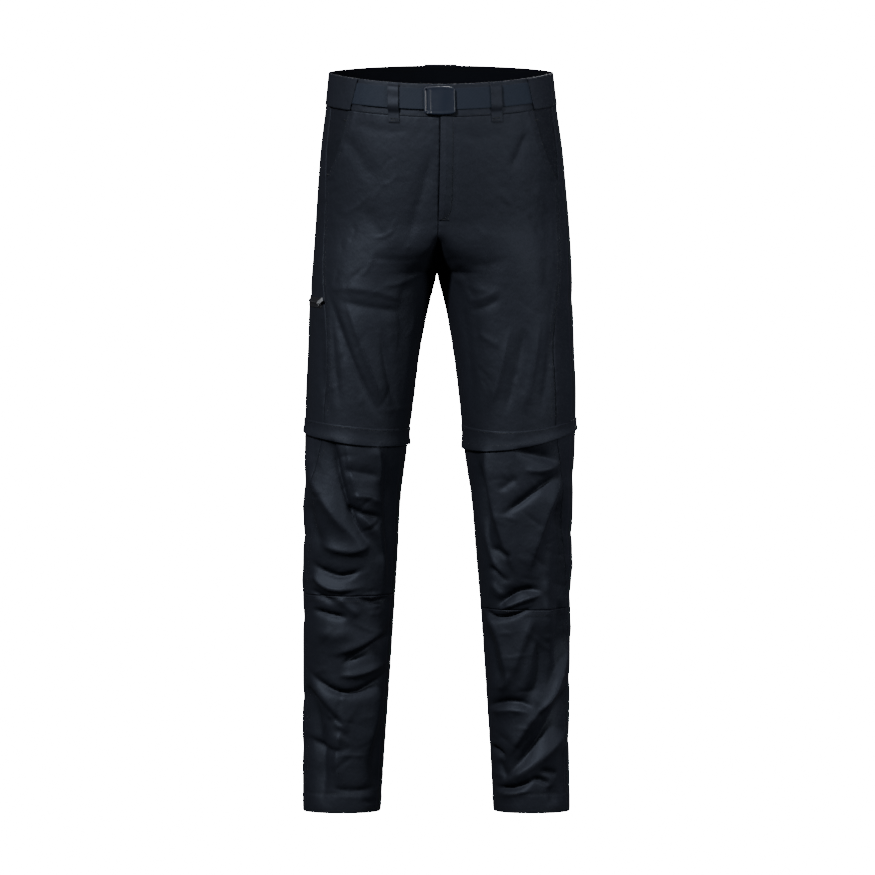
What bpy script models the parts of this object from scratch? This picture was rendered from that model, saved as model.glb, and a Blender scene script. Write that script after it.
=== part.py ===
"""Hiking trousers with a webbing belt, filled out as when worn and held up at the waist.

Each cloth piece is a closed wall lofted through the sections of the garment. A point of the cloth is
given by its drop below the waist's side edge and by its turn round the body: 0 at the centre front,
1 at the centre back by way of the wearer's left, -1 at the centre back by way of the right. Below the
fork a turn of 0 and one of 1 both lie on the inseam. Lengths in the tables are millimetres.
"""

import math

import bmesh
import bpy
import numpy as np
from mathutils import Matrix, Vector

MM = 0.001

# Driving dimensions.
LENGTH = 1052.0
WAISTBAND_HEIGHT = 46.0
WAIST_FRONT_DIP = 12.0
WAIST_BACK_RISE = 5.0
FORK_DROP = 281.0
FRONT_FORK_HEIGHT = 70.0
BACK_FORK_HEIGHT = 150.0
SECTION_FULLNESS = 2.15
PULL_RISE = 24.0
ZIP_OFF_DROP = 510.0
KNEE_SEAM_DROP = {-1: 741.0, 1: 761.0}
HEM_TURN_UP = 28.0
CLOTH = 1.3
HEM_CLOTH = 2.3
SEAM_GAP = 0.3
BELT_TOP = 6.5
BELT_WIDTH = 30.0
WEBBING = 1.4
FLY_WIDTH = 20.0
FLY_END = 205.0
LOOP_WIDTH = 16.0
BACK_LOOP_WIDTH = 47.0
BUCKLE_WIDTH = 45.4
BUCKLE_HEIGHT = 39.5
BUCKLE_THICKNESS = 4.6
POCKET_ZIP_DROP = 325.0
POCKET_ZIP_END = 0.58

# Sections of the garment, from the waist to the hem. Right and left are the silhouette's distances
# from the waist's middle; middle is the plane between the legs and apart is how far each leg's inner
# side stands from it. Centre, front and back are depths.
SECTION_COLUMNS = ("drop", "right", "left", "middle", "apart", "centre", "front", "back")
SECTIONS = (
    (0, 157.5, 158.5, 0.0, 0.0, 0, 110, 112),
    (57, 163.5, 165.5, -0.5, 0.0, 0, 116, 118),
    (106, 169.5, 172.5, -1.0, 0.0, 2, 119, 126),
    (163, 174.0, 178.0, -2.0, 0.0, 5, 120, 133),
    (234, 178.5, 184.0, -4.0, 0.0, 9, 117, 131),
    (281, 182.0, 186.5, -5.0, 0.0, 12, 113, 113),
    (334, 186.5, 188.0, -5.0, 12.8, 8, 107, 107),
    (390, 188.0, 189.5, -5.6, 23.4, 4, 102, 103),
    (461, 191.0, 192.2, -5.7, 33.3, 0, 96, 98),
    (532, 192.4, 191.0, -7.0, 42.0, -4, 90, 92),
    (604, 193.8, 188.2, -6.4, 51.1, -6, 86, 88),
    (689, 195.2, 186.7, -5.1, 56.9, -3, 80, 88),
    (774, 195.3, 184.2, -4.3, 63.2, 1, 77, 88),
    (859, 195.3, 183.9, -4.2, 68.8, 5, 74, 82),
    (944, 196.2, 182.8, -4.4, 74.6, 8, 71, 75),
    (1052, 195.3, 183.7, -5.0, 81.3, 10, 69, 69),
)

# The seam in front of the side, and the slanted pocket opening: turn at each drop.
SIDE_SEAM = (
    (0, 0.400), (110, 0.390), (180, 0.368), (334, 0.361), (510, 0.358), (620, 0.400), (760, 0.440), (1052, 0.440),
)
POCKET_OPENING = ((46, 0.286), (71, 0.296), (96, 0.309), (121, 0.327), (138, 0.349), (149, 0.367))
POCKET_END = 149.0

# Drop of the knee flap's upper and lower edge at the inner side, front, outer side and back.
KNEE_FLAP = {
    -1: {"top": (505, 499, 491, 498), "bottom": (528, 525, 511, 519)},
    1: {"top": (500, 505, 491, 496), "bottom": (534, 530, 507, 519)},
}

# The largest folds. Each runs from one place (across, drop) to another, bowed sideways at its middle;
# across is measured from the middle of the body towards the wearer's left. Height is out of the cloth.
FOLD_COLUMNS = ("across_1", "drop_1", "across_2", "drop_2", "bow", "width_1", "width_2", "height")
FRONT_FOLDS = (
    (-153, 307, -53, 319, -3, 8, 9, 4.0),
    (-136, 323, -57, 333, -2, 9, 10, -4.5),
    (-153, 317, -92, 475, 4, 9, 14, -5.0),
    (-128, 325, -75, 471, 3, 12, 12, 3.0),
    (-82, 367, -63, 473, 0, 9, 9, -3.5),
    (-136, 89, -89, 145, 2, 9, 9, -2.5),
    (-14, 117, -42, 231, 2, 9, 11, -3.0),
    (119, 85, 101, 131, -2, 9, 9, -2.5),
    (48, 332, 80, 317, 0, 9, 8, -3.5),
    (97, 367, 69, 475, -3, 11, 12, 3.5),
    (117, 364, 93, 475, -2, 9, 10, -3.0),
    (138, 360, 119, 475, -2, 11, 12, 3.5),
    (-167, 530, -106, 665, -4, 14, 9, -7.0),
    (-185, 546, -134, 665, -4, 9, 9, 4.0),
    (-150, 528, -104, 660, 3, 9, 8, 4.5),
    (-171, 691, -112, 716, 3, 9, 9, -3.5),
    (-178, 695, -116, 731, 6, 9, 9, 4.0),
    (-178, 856, -88, 856, 14, 9, 9, -4.5),
    (-160, 898, -157, 960, 0, 14, 14, -3.5),
    (160, 576, 94, 618, 2, 9, 10, -5.5),
    (148, 610, 120, 691, 2, 12, 12, 3.0),
    (82, 627, 89, 684, 0, 12, 12, -4.0),
    (83, 752, 137, 734, -5, 9, 8, -4.5),
    (97, 780, 97, 834, 0, 15, 11, 3.5),
    (178, 820, 90, 966, 8, 9, 9, 5.0),
    (176, 847, 101, 980, 8, 10, 9, -5.5),
)
BACK_FOLDS = (
    (-150, 322, -60, 336, 4, 10, 10, -4.0),
    (-140, 300, -50, 312, 3, 9, 9, 3.0),
    (150, 318, 60, 330, 4, 10, 10, -4.0),
    (142, 296, 56, 306, 3, 9, 9, 3.0),
    (-30, 190, -105, 262, 4, 11, 11, -4.0),
    (28, 186, 104, 258, -4, 11, 11, -4.0),
    (-120, 360, -95, 470, 3, 12, 12, -3.5),
    (122, 362, 100, 472, -3, 12, 12, -3.5),
    (-170, 640, -90, 668, 6, 10, 10, -5.0),
    (-165, 676, -84, 652, 3, 9, 9, 4.0),
    (168, 632, 80, 662, 6, 10, 10, -5.0),
    (160, 672, 78, 648, 3, 9, 9, 4.0),
    (-176, 742, -96, 770, 4, 10, 10, -4.5),
    (168, 738, 82, 764, 4, 10, 10, -4.5),
    (-172, 880, -100, 902, 5, 10, 10, -4.0),
    (170, 884, 96, 872, 5, 10, 10, -4.0),
    (-150, 930, -120, 1000, 3, 12, 12, 3.0),
    (150, 926, 126, 1002, -3, 12, 12, 3.0),
)

# Rows of the cloth's grids: closer together where the fork turns under.
THIGH_ROWS = (
    46, 62, 80, 98, 121, 138, 149, 152.5, 168, 184, 198, 211, 233, 250, 263.5, 273.5, 279, 281,
    290, 304, 318, 332, 346, 361, 377, 393, 409, 426, 443, 460, 476, 490, 501, 510,
)
KNEE_ROW_STEPS = 14
SHIN_ROW_STEPS = 17
FRONT_COLUMNS = 13
BACK_COLUMNS = 10


def smooth_curve(table_x, table_y):
    """A function that follows a smooth curve through the table's rows."""
    xs = np.array(table_x, float)
    ys = np.array(table_y, float)
    slopes = np.gradient(ys, xs)

    def value(x):
        x = np.clip(x, xs[0], xs[-1])
        i = np.clip(np.searchsorted(xs, x, side="right") - 1, 0, len(xs) - 2)
        step = xs[i + 1] - xs[i]
        t = (x - xs[i]) / step
        return (
            ys[i] * (1 + 2 * t) * (1 - t) ** 2
            + ys[i + 1] * t**2 * (3 - 2 * t)
            + slopes[i] * step * t * (1 - t) ** 2
            - slopes[i + 1] * step * t**2 * (1 - t)
        )

    return value


SECTION = {
    name: smooth_curve([row[0] for row in SECTIONS], [row[i] for row in SECTIONS])
    for i, name in enumerate(SECTION_COLUMNS)
}


def ease(low, high, value):
    """0 at low, 1 at high, with a soft start and end."""
    t = np.clip((value - low) / (high - low), 0.0, 1.0)
    return t * t * (3 - 2 * t)


def round_the_leg(corners, u):
    """A value given at the inner side, front, outer side and back, at a turn u within one side."""
    inner, front, outer, back = corners
    middle = (inner + outer) / 2
    lobe = np.where(u < 0.5, front - middle, back - middle)
    return middle + (inner - outer) / 2 * np.cos(2 * np.pi * u) + lobe * np.sin(2 * np.pi * u) ** 2


def flap_edge(side, u, edge):
    right = round_the_leg(KNEE_FLAP[-1][edge], u)
    left = round_the_leg(KNEE_FLAP[1][edge], u)
    return np.where(side > 0, left, right)


def warp(side, drop, u):
    """How much lower than its nominal drop the cloth lies: the dipped waist and the slanted flap."""
    swing = np.cos(np.pi * u) ** 2
    waist = np.where(u < 0.5, WAIST_FRONT_DIP, -WAIST_BACK_RISE) * swing
    flap = (flap_edge(side, u, "top") + flap_edge(side, u, "bottom")) / 2 - ZIP_OFF_DROP
    near_flap = 1 - ease(24, 110, np.abs(drop - ZIP_OFF_DROP))
    return waist * (1 - ease(50, 175, drop)) + flap * near_flap


def half_surface(side, drop, u):
    """Points of the smooth form at a drop and at a turn u, 0 to 1, within one side."""
    outer = np.where(side > 0, SECTION["left"](drop), SECTION["right"](drop))
    apart = np.where(drop > FORK_DROP, np.maximum(SECTION["apart"](drop), 0.0), 0.0)
    inner = side * SECTION["middle"](drop) + apart
    in_front = u < 0.5
    fork_height = np.where(in_front, FRONT_FORK_HEIGHT, BACK_FORK_HEIGHT)
    above = np.clip((FORK_DROP - drop) / fork_height, 0.0, 1.0)
    cut = (1 - above) ** 1.5
    lift = (1 - cut**SECTION_FULLNESS) ** (1 / SECTION_FULLNESS)
    start = np.arctan2(lift, cut)
    half_width = (outer - inner) / (1 + cut)
    from_side = np.abs(u - 0.5) * 2
    even = np.pi / 2 * (1 - ease(190, 400, drop))
    angle = np.pi - from_side * (np.pi - even) - from_side**3 * (even - start)
    cosine = np.cos(angle)
    sine = np.sin(angle)
    reach = (np.abs(cosine) ** SECTION_FULLNESS + np.abs(sine) ** SECTION_FULLNESS) ** (
        -1 / SECTION_FULLNESS
    )
    depth = np.where(in_front, -SECTION["front"](drop), SECTION["back"](drop))
    x = side * (inner + cut * half_width - half_width * cosine * reach)
    y = SECTION["centre"](drop) + depth * sine * reach
    z = -(drop + warp(side, drop, u))
    return np.stack(np.broadcast_arrays(x, y, z), axis=-1)


def split_turn(turn):
    """The side (1 left, -1 right) and the turn within it."""
    side = np.where((turn >= 0) & (turn <= 1), 1.0, -1.0)
    u = np.where(turn < 0, -turn, np.where(turn > 1, 2 - turn, turn))
    return side, u


def fold_heights(folds, across, drop):
    """Sum of the folds' heights at places of one face of the garment."""
    total = np.zeros(np.shape(across))
    for across_1, drop_1, across_2, drop_2, bow, width_1, width_2, height in folds:
        run = np.array((across_2 - across_1, drop_2 - drop_1), float)
        length = math.hypot(*run)
        along = run / length
        t = ((across - across_1) * along[0] + (drop - drop_1) * along[1]) / length
        offset = (drop - drop_1) * along[0] - (across - across_1) * along[1]
        inside = np.clip(t, 0, 1)
        offset = offset - bow * 4 * inside * (1 - inside)
        width = width_1 + (width_2 - width_1) * inside
        ends = ease(-0.12, 0.22, t) * (1 - ease(0.78, 1.12, t))
        total += height * ends * np.exp(-((offset / width) ** 2))
    return total


def cloth_grid(drop, turn):
    """Points of the cloth's middle layer, folds and all, and the direction out of it at each."""
    drop, turn = np.broadcast_arrays(np.asarray(drop, float), np.asarray(turn, float))
    side, u = split_turn(turn)
    base = half_surface(side, drop, u)
    step_u = 0.002
    step_drop = 1.0
    lower = np.where(np.abs(drop - FORK_DROP) < 1.5, 0.0, -step_drop)
    round_it = half_surface(side, drop, u + step_u) - half_surface(side, drop, u - step_u)
    down = half_surface(side, drop + step_drop, u) - half_surface(side, drop + lower, u)
    out = np.cross(down, round_it) * side[..., None]
    at_middle = ((u < 0.004) | (u > 0.996)) & (drop < FORK_DROP - 0.5)
    out[..., 0] = np.where(at_middle, 0.0, out[..., 0])
    out /= np.linalg.norm(out, axis=-1, keepdims=True)
    low = -base[..., 2]
    front = fold_heights(FRONT_FOLDS, base[..., 0], low)
    back = fold_heights(BACK_FOLDS, base[..., 0], low)
    facing = ease(0.05, 0.45, np.abs(out[..., 1]))
    plain = ease(48, 75, drop) * ease(8, 26, np.abs(drop - ZIP_OFF_DROP))
    height = np.where(u < 0.5, front, back) * facing * plain
    return base + out * height[..., None], out


def speed(side, drop, u):
    """Millimetres of cloth per unit of turn."""
    ahead = half_surface(side, drop, u + 0.002)
    behind = half_surface(side, drop, u - 0.002)
    return np.linalg.norm(ahead - behind, axis=-1) / 0.004


def set_in(side, drop, u, direction):
    """A seam's edge at turn u, moved by half the seam's gap."""
    return u + direction * SEAM_GAP / 2 / speed(side, drop, u)


def material(name, colour, roughness, metallic=0.0):
    made = bpy.data.materials.new(name)
    made.use_nodes = True
    shader = made.node_tree.nodes["Principled BSDF"]
    shader.inputs["Base Color"].default_value = (*colour, 1.0)
    shader.inputs["Roughness"].default_value = roughness
    shader.inputs["Metallic"].default_value = metallic
    made.diffuse_color = (*colour, 1.0)
    return made


def add_object(name, mesh, look):
    mesh.materials.append(look)
    made = bpy.data.objects.new(name, mesh)
    PARTS.objects.link(made)
    return made


def signed_volume(points, triangles):
    a, b, c = (points[triangles[:, i]] for i in range(3))
    return np.einsum("ij,ij->i", a, np.cross(b, c)).sum() / 6


def wall_solid(name, inside, outside, look, ring=False):
    """A closed wall between two grids of points. A ring's last column joins its first."""
    rows, columns = outside.shape[:2]
    index = np.arange(rows * columns).reshape(rows, columns)
    if ring:
        index = np.concatenate([index, index[:, :1]], axis=1)
    a, b, c, d = index[:-1, :-1], index[:-1, 1:], index[1:, 1:], index[1:, :-1]
    outer = np.concatenate([np.stack([a, b, c], -1).reshape(-1, 3), np.stack([a, c, d], -1).reshape(-1, 3)])
    inner = outer[:, ::-1] + rows * columns
    edges = [(index[0, :-1], index[0, 1:]), (index[-1, 1:], index[-1, :-1])]
    if not ring:
        edges += [(index[:-1, -1], index[1:, -1]), (index[1:, 0], index[:-1, 0])]
    sides = []
    for first, second in edges:
        sides.append(np.stack([second, first, first + rows * columns], -1))
        sides.append(np.stack([second, first + rows * columns, second + rows * columns], -1))
    triangles = np.concatenate([outer, inner, *sides])
    points = np.concatenate([outside.reshape(-1, 3), inside.reshape(-1, 3)])
    if signed_volume(points, triangles) < 0:
        triangles = triangles[:, ::-1]
    mesh = bpy.data.meshes.new(name)
    mesh.from_pydata((points * MM).tolist(), [], triangles.tolist())
    mesh.update()
    return add_object(name, mesh, look)


class Panel:
    """A piece of the garment's own cloth: a grid of rows down and columns round."""

    def __init__(self, side, rows, edge_1, edge_2, columns):
        self.side = side
        self.rows = np.array(rows, float)
        share = np.linspace(0, 1, columns + 1)
        start = edge_1(self.rows)[:, None]
        end = edge_2(self.rows)[:, None]
        self.u = start + (end - start) * share
        self.drop = np.repeat(self.rows[:, None], columns + 1, axis=1)
        self.points, self.out = cloth_grid(self.drop, side * self.u)

    def inside_row(self, drop):
        """The row above a drop and how far past it the drop is."""
        i = int(np.clip(np.searchsorted(self.rows, drop, side="right") - 1, 0, len(self.rows) - 2))
        return i, (drop - self.rows[i]) / (self.rows[i + 1] - self.rows[i])

    def at(self, drop, u, offset):
        """The point that lies an offset outside the panel's own facets."""
        i, t = self.inside_row(drop)
        us = self.u[i] * (1 - t) + self.u[i + 1] * t
        j = int(np.clip(np.searchsorted(us, u, side="right") - 1, 0, len(us) - 2))
        s = (u - us[j]) / (us[j + 1] - us[j])
        grid = self.points + self.out * offset
        a, b, c, d = grid[i, j], grid[i, j + 1], grid[i + 1, j + 1], grid[i + 1, j]
        if s > t:
            return a + (b - a) * s + (c - b) * t
        return a + (d - a) * t + (c - d) * s

    def lines(self, drop):
        """The turns of the panel's columns at a drop."""
        i, t = self.inside_row(drop)
        return self.u[i] * (1 - t) + self.u[i + 1] * t

    def solid(self, name, look, thickness=CLOTH):
        thickness = np.broadcast_to(np.asarray(thickness, float), self.rows.shape)[:, None, None]
        outside = self.points + self.out * CLOTH / 2
        inside = self.points + self.out * (CLOTH / 2 - thickness)
        for grid in (outside, inside):
            near = self.side * grid[..., 0]
            middle = self.side * SECTION["middle"](self.drop)
            above = self.drop < FORK_DROP + 4
            near = np.where(above, np.maximum(near, middle + SEAM_GAP / 2), near)
            grid[..., 0] = self.side * near
        return wall_solid(name, inside, outside, look)


def drop_edges(rows):
    """Rows with the first and last moved in by half the seam's gap."""
    rows = list(rows)
    rows[0] += SEAM_GAP / 2
    rows[-1] -= SEAM_GAP / 2
    return rows


def side_seam(rows):
    return np.interp(rows, *zip(*SIDE_SEAM))


def pocket_opening(rows):
    return np.interp(rows, *zip(*POCKET_OPENING))


def leg_pieces(side, name, cloth, facing_cloth):
    """The cloth pieces of one leg, from the waistband to the hem."""

    def inseam_front(rows):
        return set_in(side, rows, np.zeros_like(rows), 1)

    def inseam_back(rows):
        return set_in(side, rows, np.ones_like(rows), -1)

    def front_edge(rows):
        seam = side_seam(rows)
        opening = np.where(rows < POCKET_END + 1, pocket_opening(rows), seam)
        return set_in(side, rows, np.minimum(seam, opening), -1)

    def back_edge(rows):
        return set_in(side, rows, side_seam(rows), 1)

    front = Panel(side, drop_edges(THIGH_ROWS), inseam_front, front_edge, FRONT_COLUMNS)
    front.solid(f"front_thigh_{name}", cloth)
    back = Panel(side, drop_edges(THIGH_ROWS), back_edge, inseam_back, BACK_COLUMNS)
    back.solid(f"back_thigh_{name}", cloth)

    facing_rows = [row for row in drop_edges(THIGH_ROWS) if row < POCKET_END + 1]
    facing = Panel(
        side,
        facing_rows,
        lambda rows: set_in(side, rows, pocket_opening(rows), 1),
        lambda rows: set_in(side, rows, side_seam(rows), -1),
        3,
    )
    facing.solid(f"pocket_facing_{name}", facing_cloth)

    knee = KNEE_SEAM_DROP[side]
    knee_rows = np.linspace(ZIP_OFF_DROP, knee, KNEE_ROW_STEPS + 1)
    shin_rows = np.append(
        np.linspace(knee, LENGTH - HEM_TURN_UP, SHIN_ROW_STEPS),
        (LENGTH - HEM_TURN_UP + 2, LENGTH - HEM_TURN_UP / 2, LENGTH),
    )

    def thickness(rows):
        return np.where(np.array(rows) > LENGTH - HEM_TURN_UP + 1, HEM_CLOTH, CLOTH)

    knee_front = Panel(side, drop_edges(knee_rows), inseam_front, front_edge, FRONT_COLUMNS)
    knee_front.solid(f"front_knee_{name}", cloth)
    shin_edges = drop_edges(shin_rows)
    shin_edges[-1] = LENGTH
    shin = Panel(side, shin_edges, inseam_front, front_edge, FRONT_COLUMNS)
    shin.solid(f"shin_{name}", cloth, thickness(shin_edges))
    back_rows = drop_edges(np.append(knee_rows, shin_rows[1:]))
    back_rows[-1] = LENGTH
    lower_back = Panel(side, back_rows, back_edge, inseam_back, BACK_COLUMNS)
    lower_back.solid(f"lower_back_{name}", cloth, thickness(back_rows))
    knee_flap(side, name, cloth, front, back, knee_front, lower_back)
    return front, back


def knee_flap(side, name, cloth, front, back, knee_front, lower_back):
    """The ring over the zip-off join: sewn along its top, standing off a little along its bottom."""
    thigh_turns = np.concatenate([front.lines(500), back.lines(500)[1:]])
    turns = thigh_turns[thigh_turns < 0.996]
    inside = []
    outside = []
    for share, offset in ((0.0, 1.0), (0.34, 1.15), (0.67, 1.5), (1.0, 2.4)):
        inner_row = []
        outer_row = []
        for u in turns:
            top = float(flap_edge(side, u, "top"))
            bottom = float(flap_edge(side, u, "bottom"))
            drop = ZIP_OFF_DROP + (bottom - top) * (share - 0.5)
            if drop < ZIP_OFF_DROP:
                panel = front if u < front.lines(drop)[-1] + 0.0005 else back
            else:
                panel = knee_front if u < knee_front.lines(drop)[-1] + 0.0005 else lower_back
            inner_row.append(panel.at(drop, u, offset))
            outer_row.append(panel.at(drop, u, offset + CLOTH))
        inside.append(inner_row)
        outside.append(outer_row)
    wall_solid(f"knee_flap_{name}", np.array(inside), np.array(outside), cloth, ring=True)


def waist_strip(name, look, turn_1, turn_2, drop_1, drop_2, inner, outer, lines, rows=2):
    """A strip on the waist from one turn to another, cut on the waistband's own column lines."""
    between = [line for line in lines if turn_1 + 0.002 < line < turn_2 - 0.002]
    turns = np.array([turn_1, *between, turn_2])
    drops = np.linspace(drop_1, drop_2, rows + 1)[:, None]
    points, out = cloth_grid(drops, turns)
    inner = np.broadcast_to(np.asarray(inner, float), turns.shape)[None, :, None]
    outer = np.broadcast_to(np.asarray(outer, float), turns.shape)[None, :, None]
    return wall_solid(name, points + out * inner, points + out * outer, look)


def turn_at(across, drop):
    """The turn of the front's cloth at a distance across from the middle."""
    side = 1 if across >= 0 else -1
    low, high = 0.0, 0.5
    for _ in range(40):
        middle = (low + high) / 2
        if side * half_surface(float(side), drop, middle)[0] < abs(across):
            low = middle
        else:
            high = middle
    return side * (low + high) / 2


def waist_pieces(cloth, webbing, fronts):
    """The waistband in three pieces, the belt's runs, the tunnels it leaves by and the loops."""
    half_gap = SEAM_GAP / 2
    middle = BELT_TOP + BELT_WIDTH / 2
    seam_gap = half_gap / float(speed(1.0, 20.0, 0.4))
    side = 0.398
    cuts = {
        "split": turn_at(8.5, middle),
        "left_slot": turn_at(124.0, middle),
        "right_slot": turn_at(-120.0, middle),
        "tail_end": turn_at(-110.0, middle),
        "buckle_left": turn_at(19.5, middle),
        "buckle_right": turn_at(-14.0, middle),
        "loop_left_1": turn_at(70.5, middle),
        "loop_left_2": turn_at(86.0, middle),
        "loop_right_1": turn_at(-73.5, middle),
        "loop_right_2": turn_at(-58.0, middle),
    }
    lines = sorted([*np.linspace(-side, side, 25), *cuts.values()])
    half = CLOTH / 2
    height = WAISTBAND_HEIGHT - half_gap
    split_gap = half_gap / float(speed(1.0, 20.0, 0.02))
    split = cuts["split"]
    waist_strip("waistband_front_left", cloth, split + split_gap, side - seam_gap, 0, height, -half, half, lines)
    waist_strip("waistband_front_right", cloth, -side + seam_gap, split - split_gap, 0, height, -half, half, lines)
    back_lines = np.linspace(side, 2 - side, 29)
    waist_strip("waistband_back", cloth, side + seam_gap, 2 - side - seam_gap, 0, height, -half, half + 0.9, back_lines)

    level = half + SEAM_GAP
    top = BELT_TOP
    bottom = BELT_TOP + BELT_WIDTH
    under = (level, level + WEBBING)
    waist_strip("belt_left", webbing, cuts["buckle_left"], side - 0.012, top, bottom, *under, lines)
    waist_strip("belt_right", webbing, -side + 0.012, cuts["buckle_right"], top, bottom, *under, lines)
    cover = level + WEBBING + SEAM_GAP
    left_slot = cuts["left_slot"]
    right_slot = cuts["right_slot"]
    waist_strip("waistband_tunnel_left", cloth, left_slot, side - seam_gap, 0.6, height - 0.6, cover, cover + 1.1, lines)
    waist_strip("waistband_tunnel_right", cloth, -side + seam_gap, right_slot, 0.6, height - 0.6, cover, cover + 1.1, lines)
    belt_tail(webbing, cuts, lines, level + WEBBING + SEAM_GAP)
    tail_top = level + 2 * (WEBBING + SEAM_GAP) + 0.25
    belt_top = level + WEBBING + SEAM_GAP
    front_left, front_right = fronts
    belt_loop("belt_loop_front_left", cloth, 78.2, 0.0, belt_top, front_left)
    belt_loop("belt_loop_front_right", cloth, -65.8, 2.8, tail_top, front_right)
    back_loop(cloth, half + 0.9 + SEAM_GAP)


def belt_tail(webbing, cuts, lines, level):
    """The free end: out of the buckle's slot, over its bar, and back along the belt."""
    start = cuts["tail_end"] + 0.003
    end = cuts["buckle_right"]
    extra = [turn_at(across, 20) for across in (-46, -38, -30, -24, -20, -17)]
    between = sorted(line for line in [*lines, *extra] if start + 0.002 < line < end - 0.002)
    turns = np.array([start, *between, end])
    across = half_surface(-1.0, np.full(turns.shape, 20.0), -turns)[:, 0]
    lift = level + 3.6 * ease(-48, -27, across) - 1.6 * ease(-19.5, -14, across)
    drops = np.linspace(BELT_TOP, BELT_TOP + BELT_WIDTH, 3)[:, None]
    points, out = cloth_grid(drops, turns)
    lift = lift[None, :, None]
    wall_solid("belt_end", points + out * lift, points + out * (lift + WEBBING), webbing)


def belt_loop(name, cloth, across, lean, clear, panel):
    """A narrow loop: sewn down above and below the belt and raised over it."""
    inside = []
    outside = []
    low = CLOTH / 2 + SEAM_GAP
    for drop, raised in (
        (1.0, 0.0), (3.2, 0.0), (4.8, 0.8), (6.2, 1.0), (21.0, 1.06), (37.2, 1.0), (39.2, 0.75), (42.5, 0.1),
        (45.5, 0.1), (56.5, 0.12),
    ):
        centre = across + lean * (0.5 - drop / 56.5) * -1
        turns = [turn_at(centre + part * LOOP_WIDTH, drop) for part in (-0.5, -0.17, 0.17, 0.5)]
        lift = low + (clear - low) * raised
        if drop > WAISTBAND_HEIGHT:
            side = 1 if across > 0 else -1
            inside.append([panel.at(drop, side * turn, lift + 0.1) for turn in turns])
            outside.append([panel.at(drop, side * turn, lift + 1.2) for turn in turns])
            continue
        points, out = cloth_grid(np.full(4, drop), np.array(turns))
        inside.append(points + out * (lift + 0.1))
        outside.append(points + out * (lift + 1.2))
    wall_solid(name, np.array(inside), np.array(outside), cloth)


def back_loop(cloth, level):
    """The wide loop at the centre back, from just over the waistband's edge to just under it."""
    reach = BACK_LOOP_WIDTH / 2 / float(speed(1.0, 20.0, 0.98))
    turns = 1 + np.linspace(-reach, reach, 7)
    drops = np.array((-1.5, 3.0, 6.0, 23.0, 40.0, 43.0, 51.0))
    lift = level + 0.3 + np.array((0.0, 0.0, 1.8, 2.0, 1.8, 0.4, 0.2))[:, None, None]
    points, out = cloth_grid(np.maximum(drops, 0.0)[:, None], turns)
    points[0, :, 2] += 1.5
    wall_solid("belt_loop_back", points + out * lift, points + out * (lift + 1.2), cloth)


def fly_placket(cloth, panel):
    """The strip that laps over the centre front, rounded off into the centre line at its lower end."""
    rows = [row for row in THIGH_ROWS if WAISTBAND_HEIGHT + 1 < row < FLY_END - 12]
    rows = [WAISTBAND_HEIGHT + 0.6, *rows, FLY_END - 12, FLY_END - 5, FLY_END - 1.5, FLY_END]
    inside = []
    outside = []
    level = CLOTH / 2 + 0.45
    for drop in rows:
        below = max(0.0, drop - (FLY_END - 16)) / 16
        width = FLY_WIDTH * (0.18 + 0.82 * math.sqrt(max(0.0, 1 - below**2)))
        middle = float(SECTION["middle"](drop))
        turns = [turn_at(max(0.02, middle + 0.4 + width * part), drop) for part in (0.0, 0.34, 0.67, 1.0)]
        inside.append([panel.at(drop, turn, level) for turn in turns])
        outside.append([panel.at(drop, turn, level + 1.1) for turn in turns])
    wall_solid("fly_placket", np.array(inside), np.array(outside), cloth)


def zip_tape(webbing, panel):
    """The closed zip of the thigh pocket, which runs round the side from just behind the side seam."""
    start = float(side_seam(POCKET_ZIP_DROP)) + 0.012
    end = POCKET_ZIP_END
    turns = [start, *[u for u in panel.lines(POCKET_ZIP_DROP) if start + 0.004 < u < end - 0.004], end]
    inside = []
    outside = []
    for across in (-7.0, -2.3, 2.3, 7.0):
        level = CLOTH / 2 + 0.35
        bulge = 0.8 if abs(across) < 3 else 0.0
        row_in = []
        row_out = []
        for u in turns:
            row_in.append(panel.at(POCKET_ZIP_DROP + across, u, level))
            row_out.append(panel.at(POCKET_ZIP_DROP + across, u, level + 0.9 + bulge))
        inside.append(row_in)
        outside.append(row_out)
    wall_solid("thigh_zip_tape", np.array(inside), np.array(outside), webbing)
    return start


def local_frame(drop, turn, offset):
    """A matrix whose X runs round the body to the wearer's left, Y up the cloth and Z out of it."""
    points, out = cloth_grid(np.array(drop, float), np.array(turn, float))
    outward = Vector(out.tolist())
    along = Vector((0, 0, 1)).cross(outward).normalized()
    up = outward.cross(along)
    origin = Vector((points + out * offset).tolist())
    frame = Matrix((along, up, outward)).transposed().to_4x4()
    frame.translation = origin * MM
    return frame


def box_mesh(name, size, centre=(0, 0, 0)):
    """A box in millimetres, its sides along the local axes."""
    made = bmesh.new()
    bmesh.ops.create_cube(made, size=1.0)
    bmesh.ops.scale(made, vec=Vector(size) * MM, verts=made.verts)
    bmesh.ops.translate(made, vec=Vector(centre) * MM, verts=made.verts)
    mesh = bpy.data.meshes.new(name)
    made.to_mesh(mesh)
    made.free()
    return mesh


def cutter(name, size, centre, frame):
    mesh = box_mesh(name, size, centre)
    made = bpy.data.objects.new(name, mesh)
    made.matrix_world = frame
    made.hide_render = True
    made.display_type = "WIRE"
    CUTTERS.objects.link(made)
    return made


def round_edges(obj, radius, segments, angle=0.7):
    bevel = obj.modifiers.new("rounded edges", "BEVEL")
    bevel.width = radius * MM
    bevel.segments = segments
    bevel.limit_method = "ANGLE"
    bevel.angle_limit = angle


def cut_with(obj, tool):
    cut = obj.modifiers.new(tool.name, "BOOLEAN")
    cut.operation = "DIFFERENCE"
    cut.solver = "EXACT"
    cut.object = tool


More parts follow.
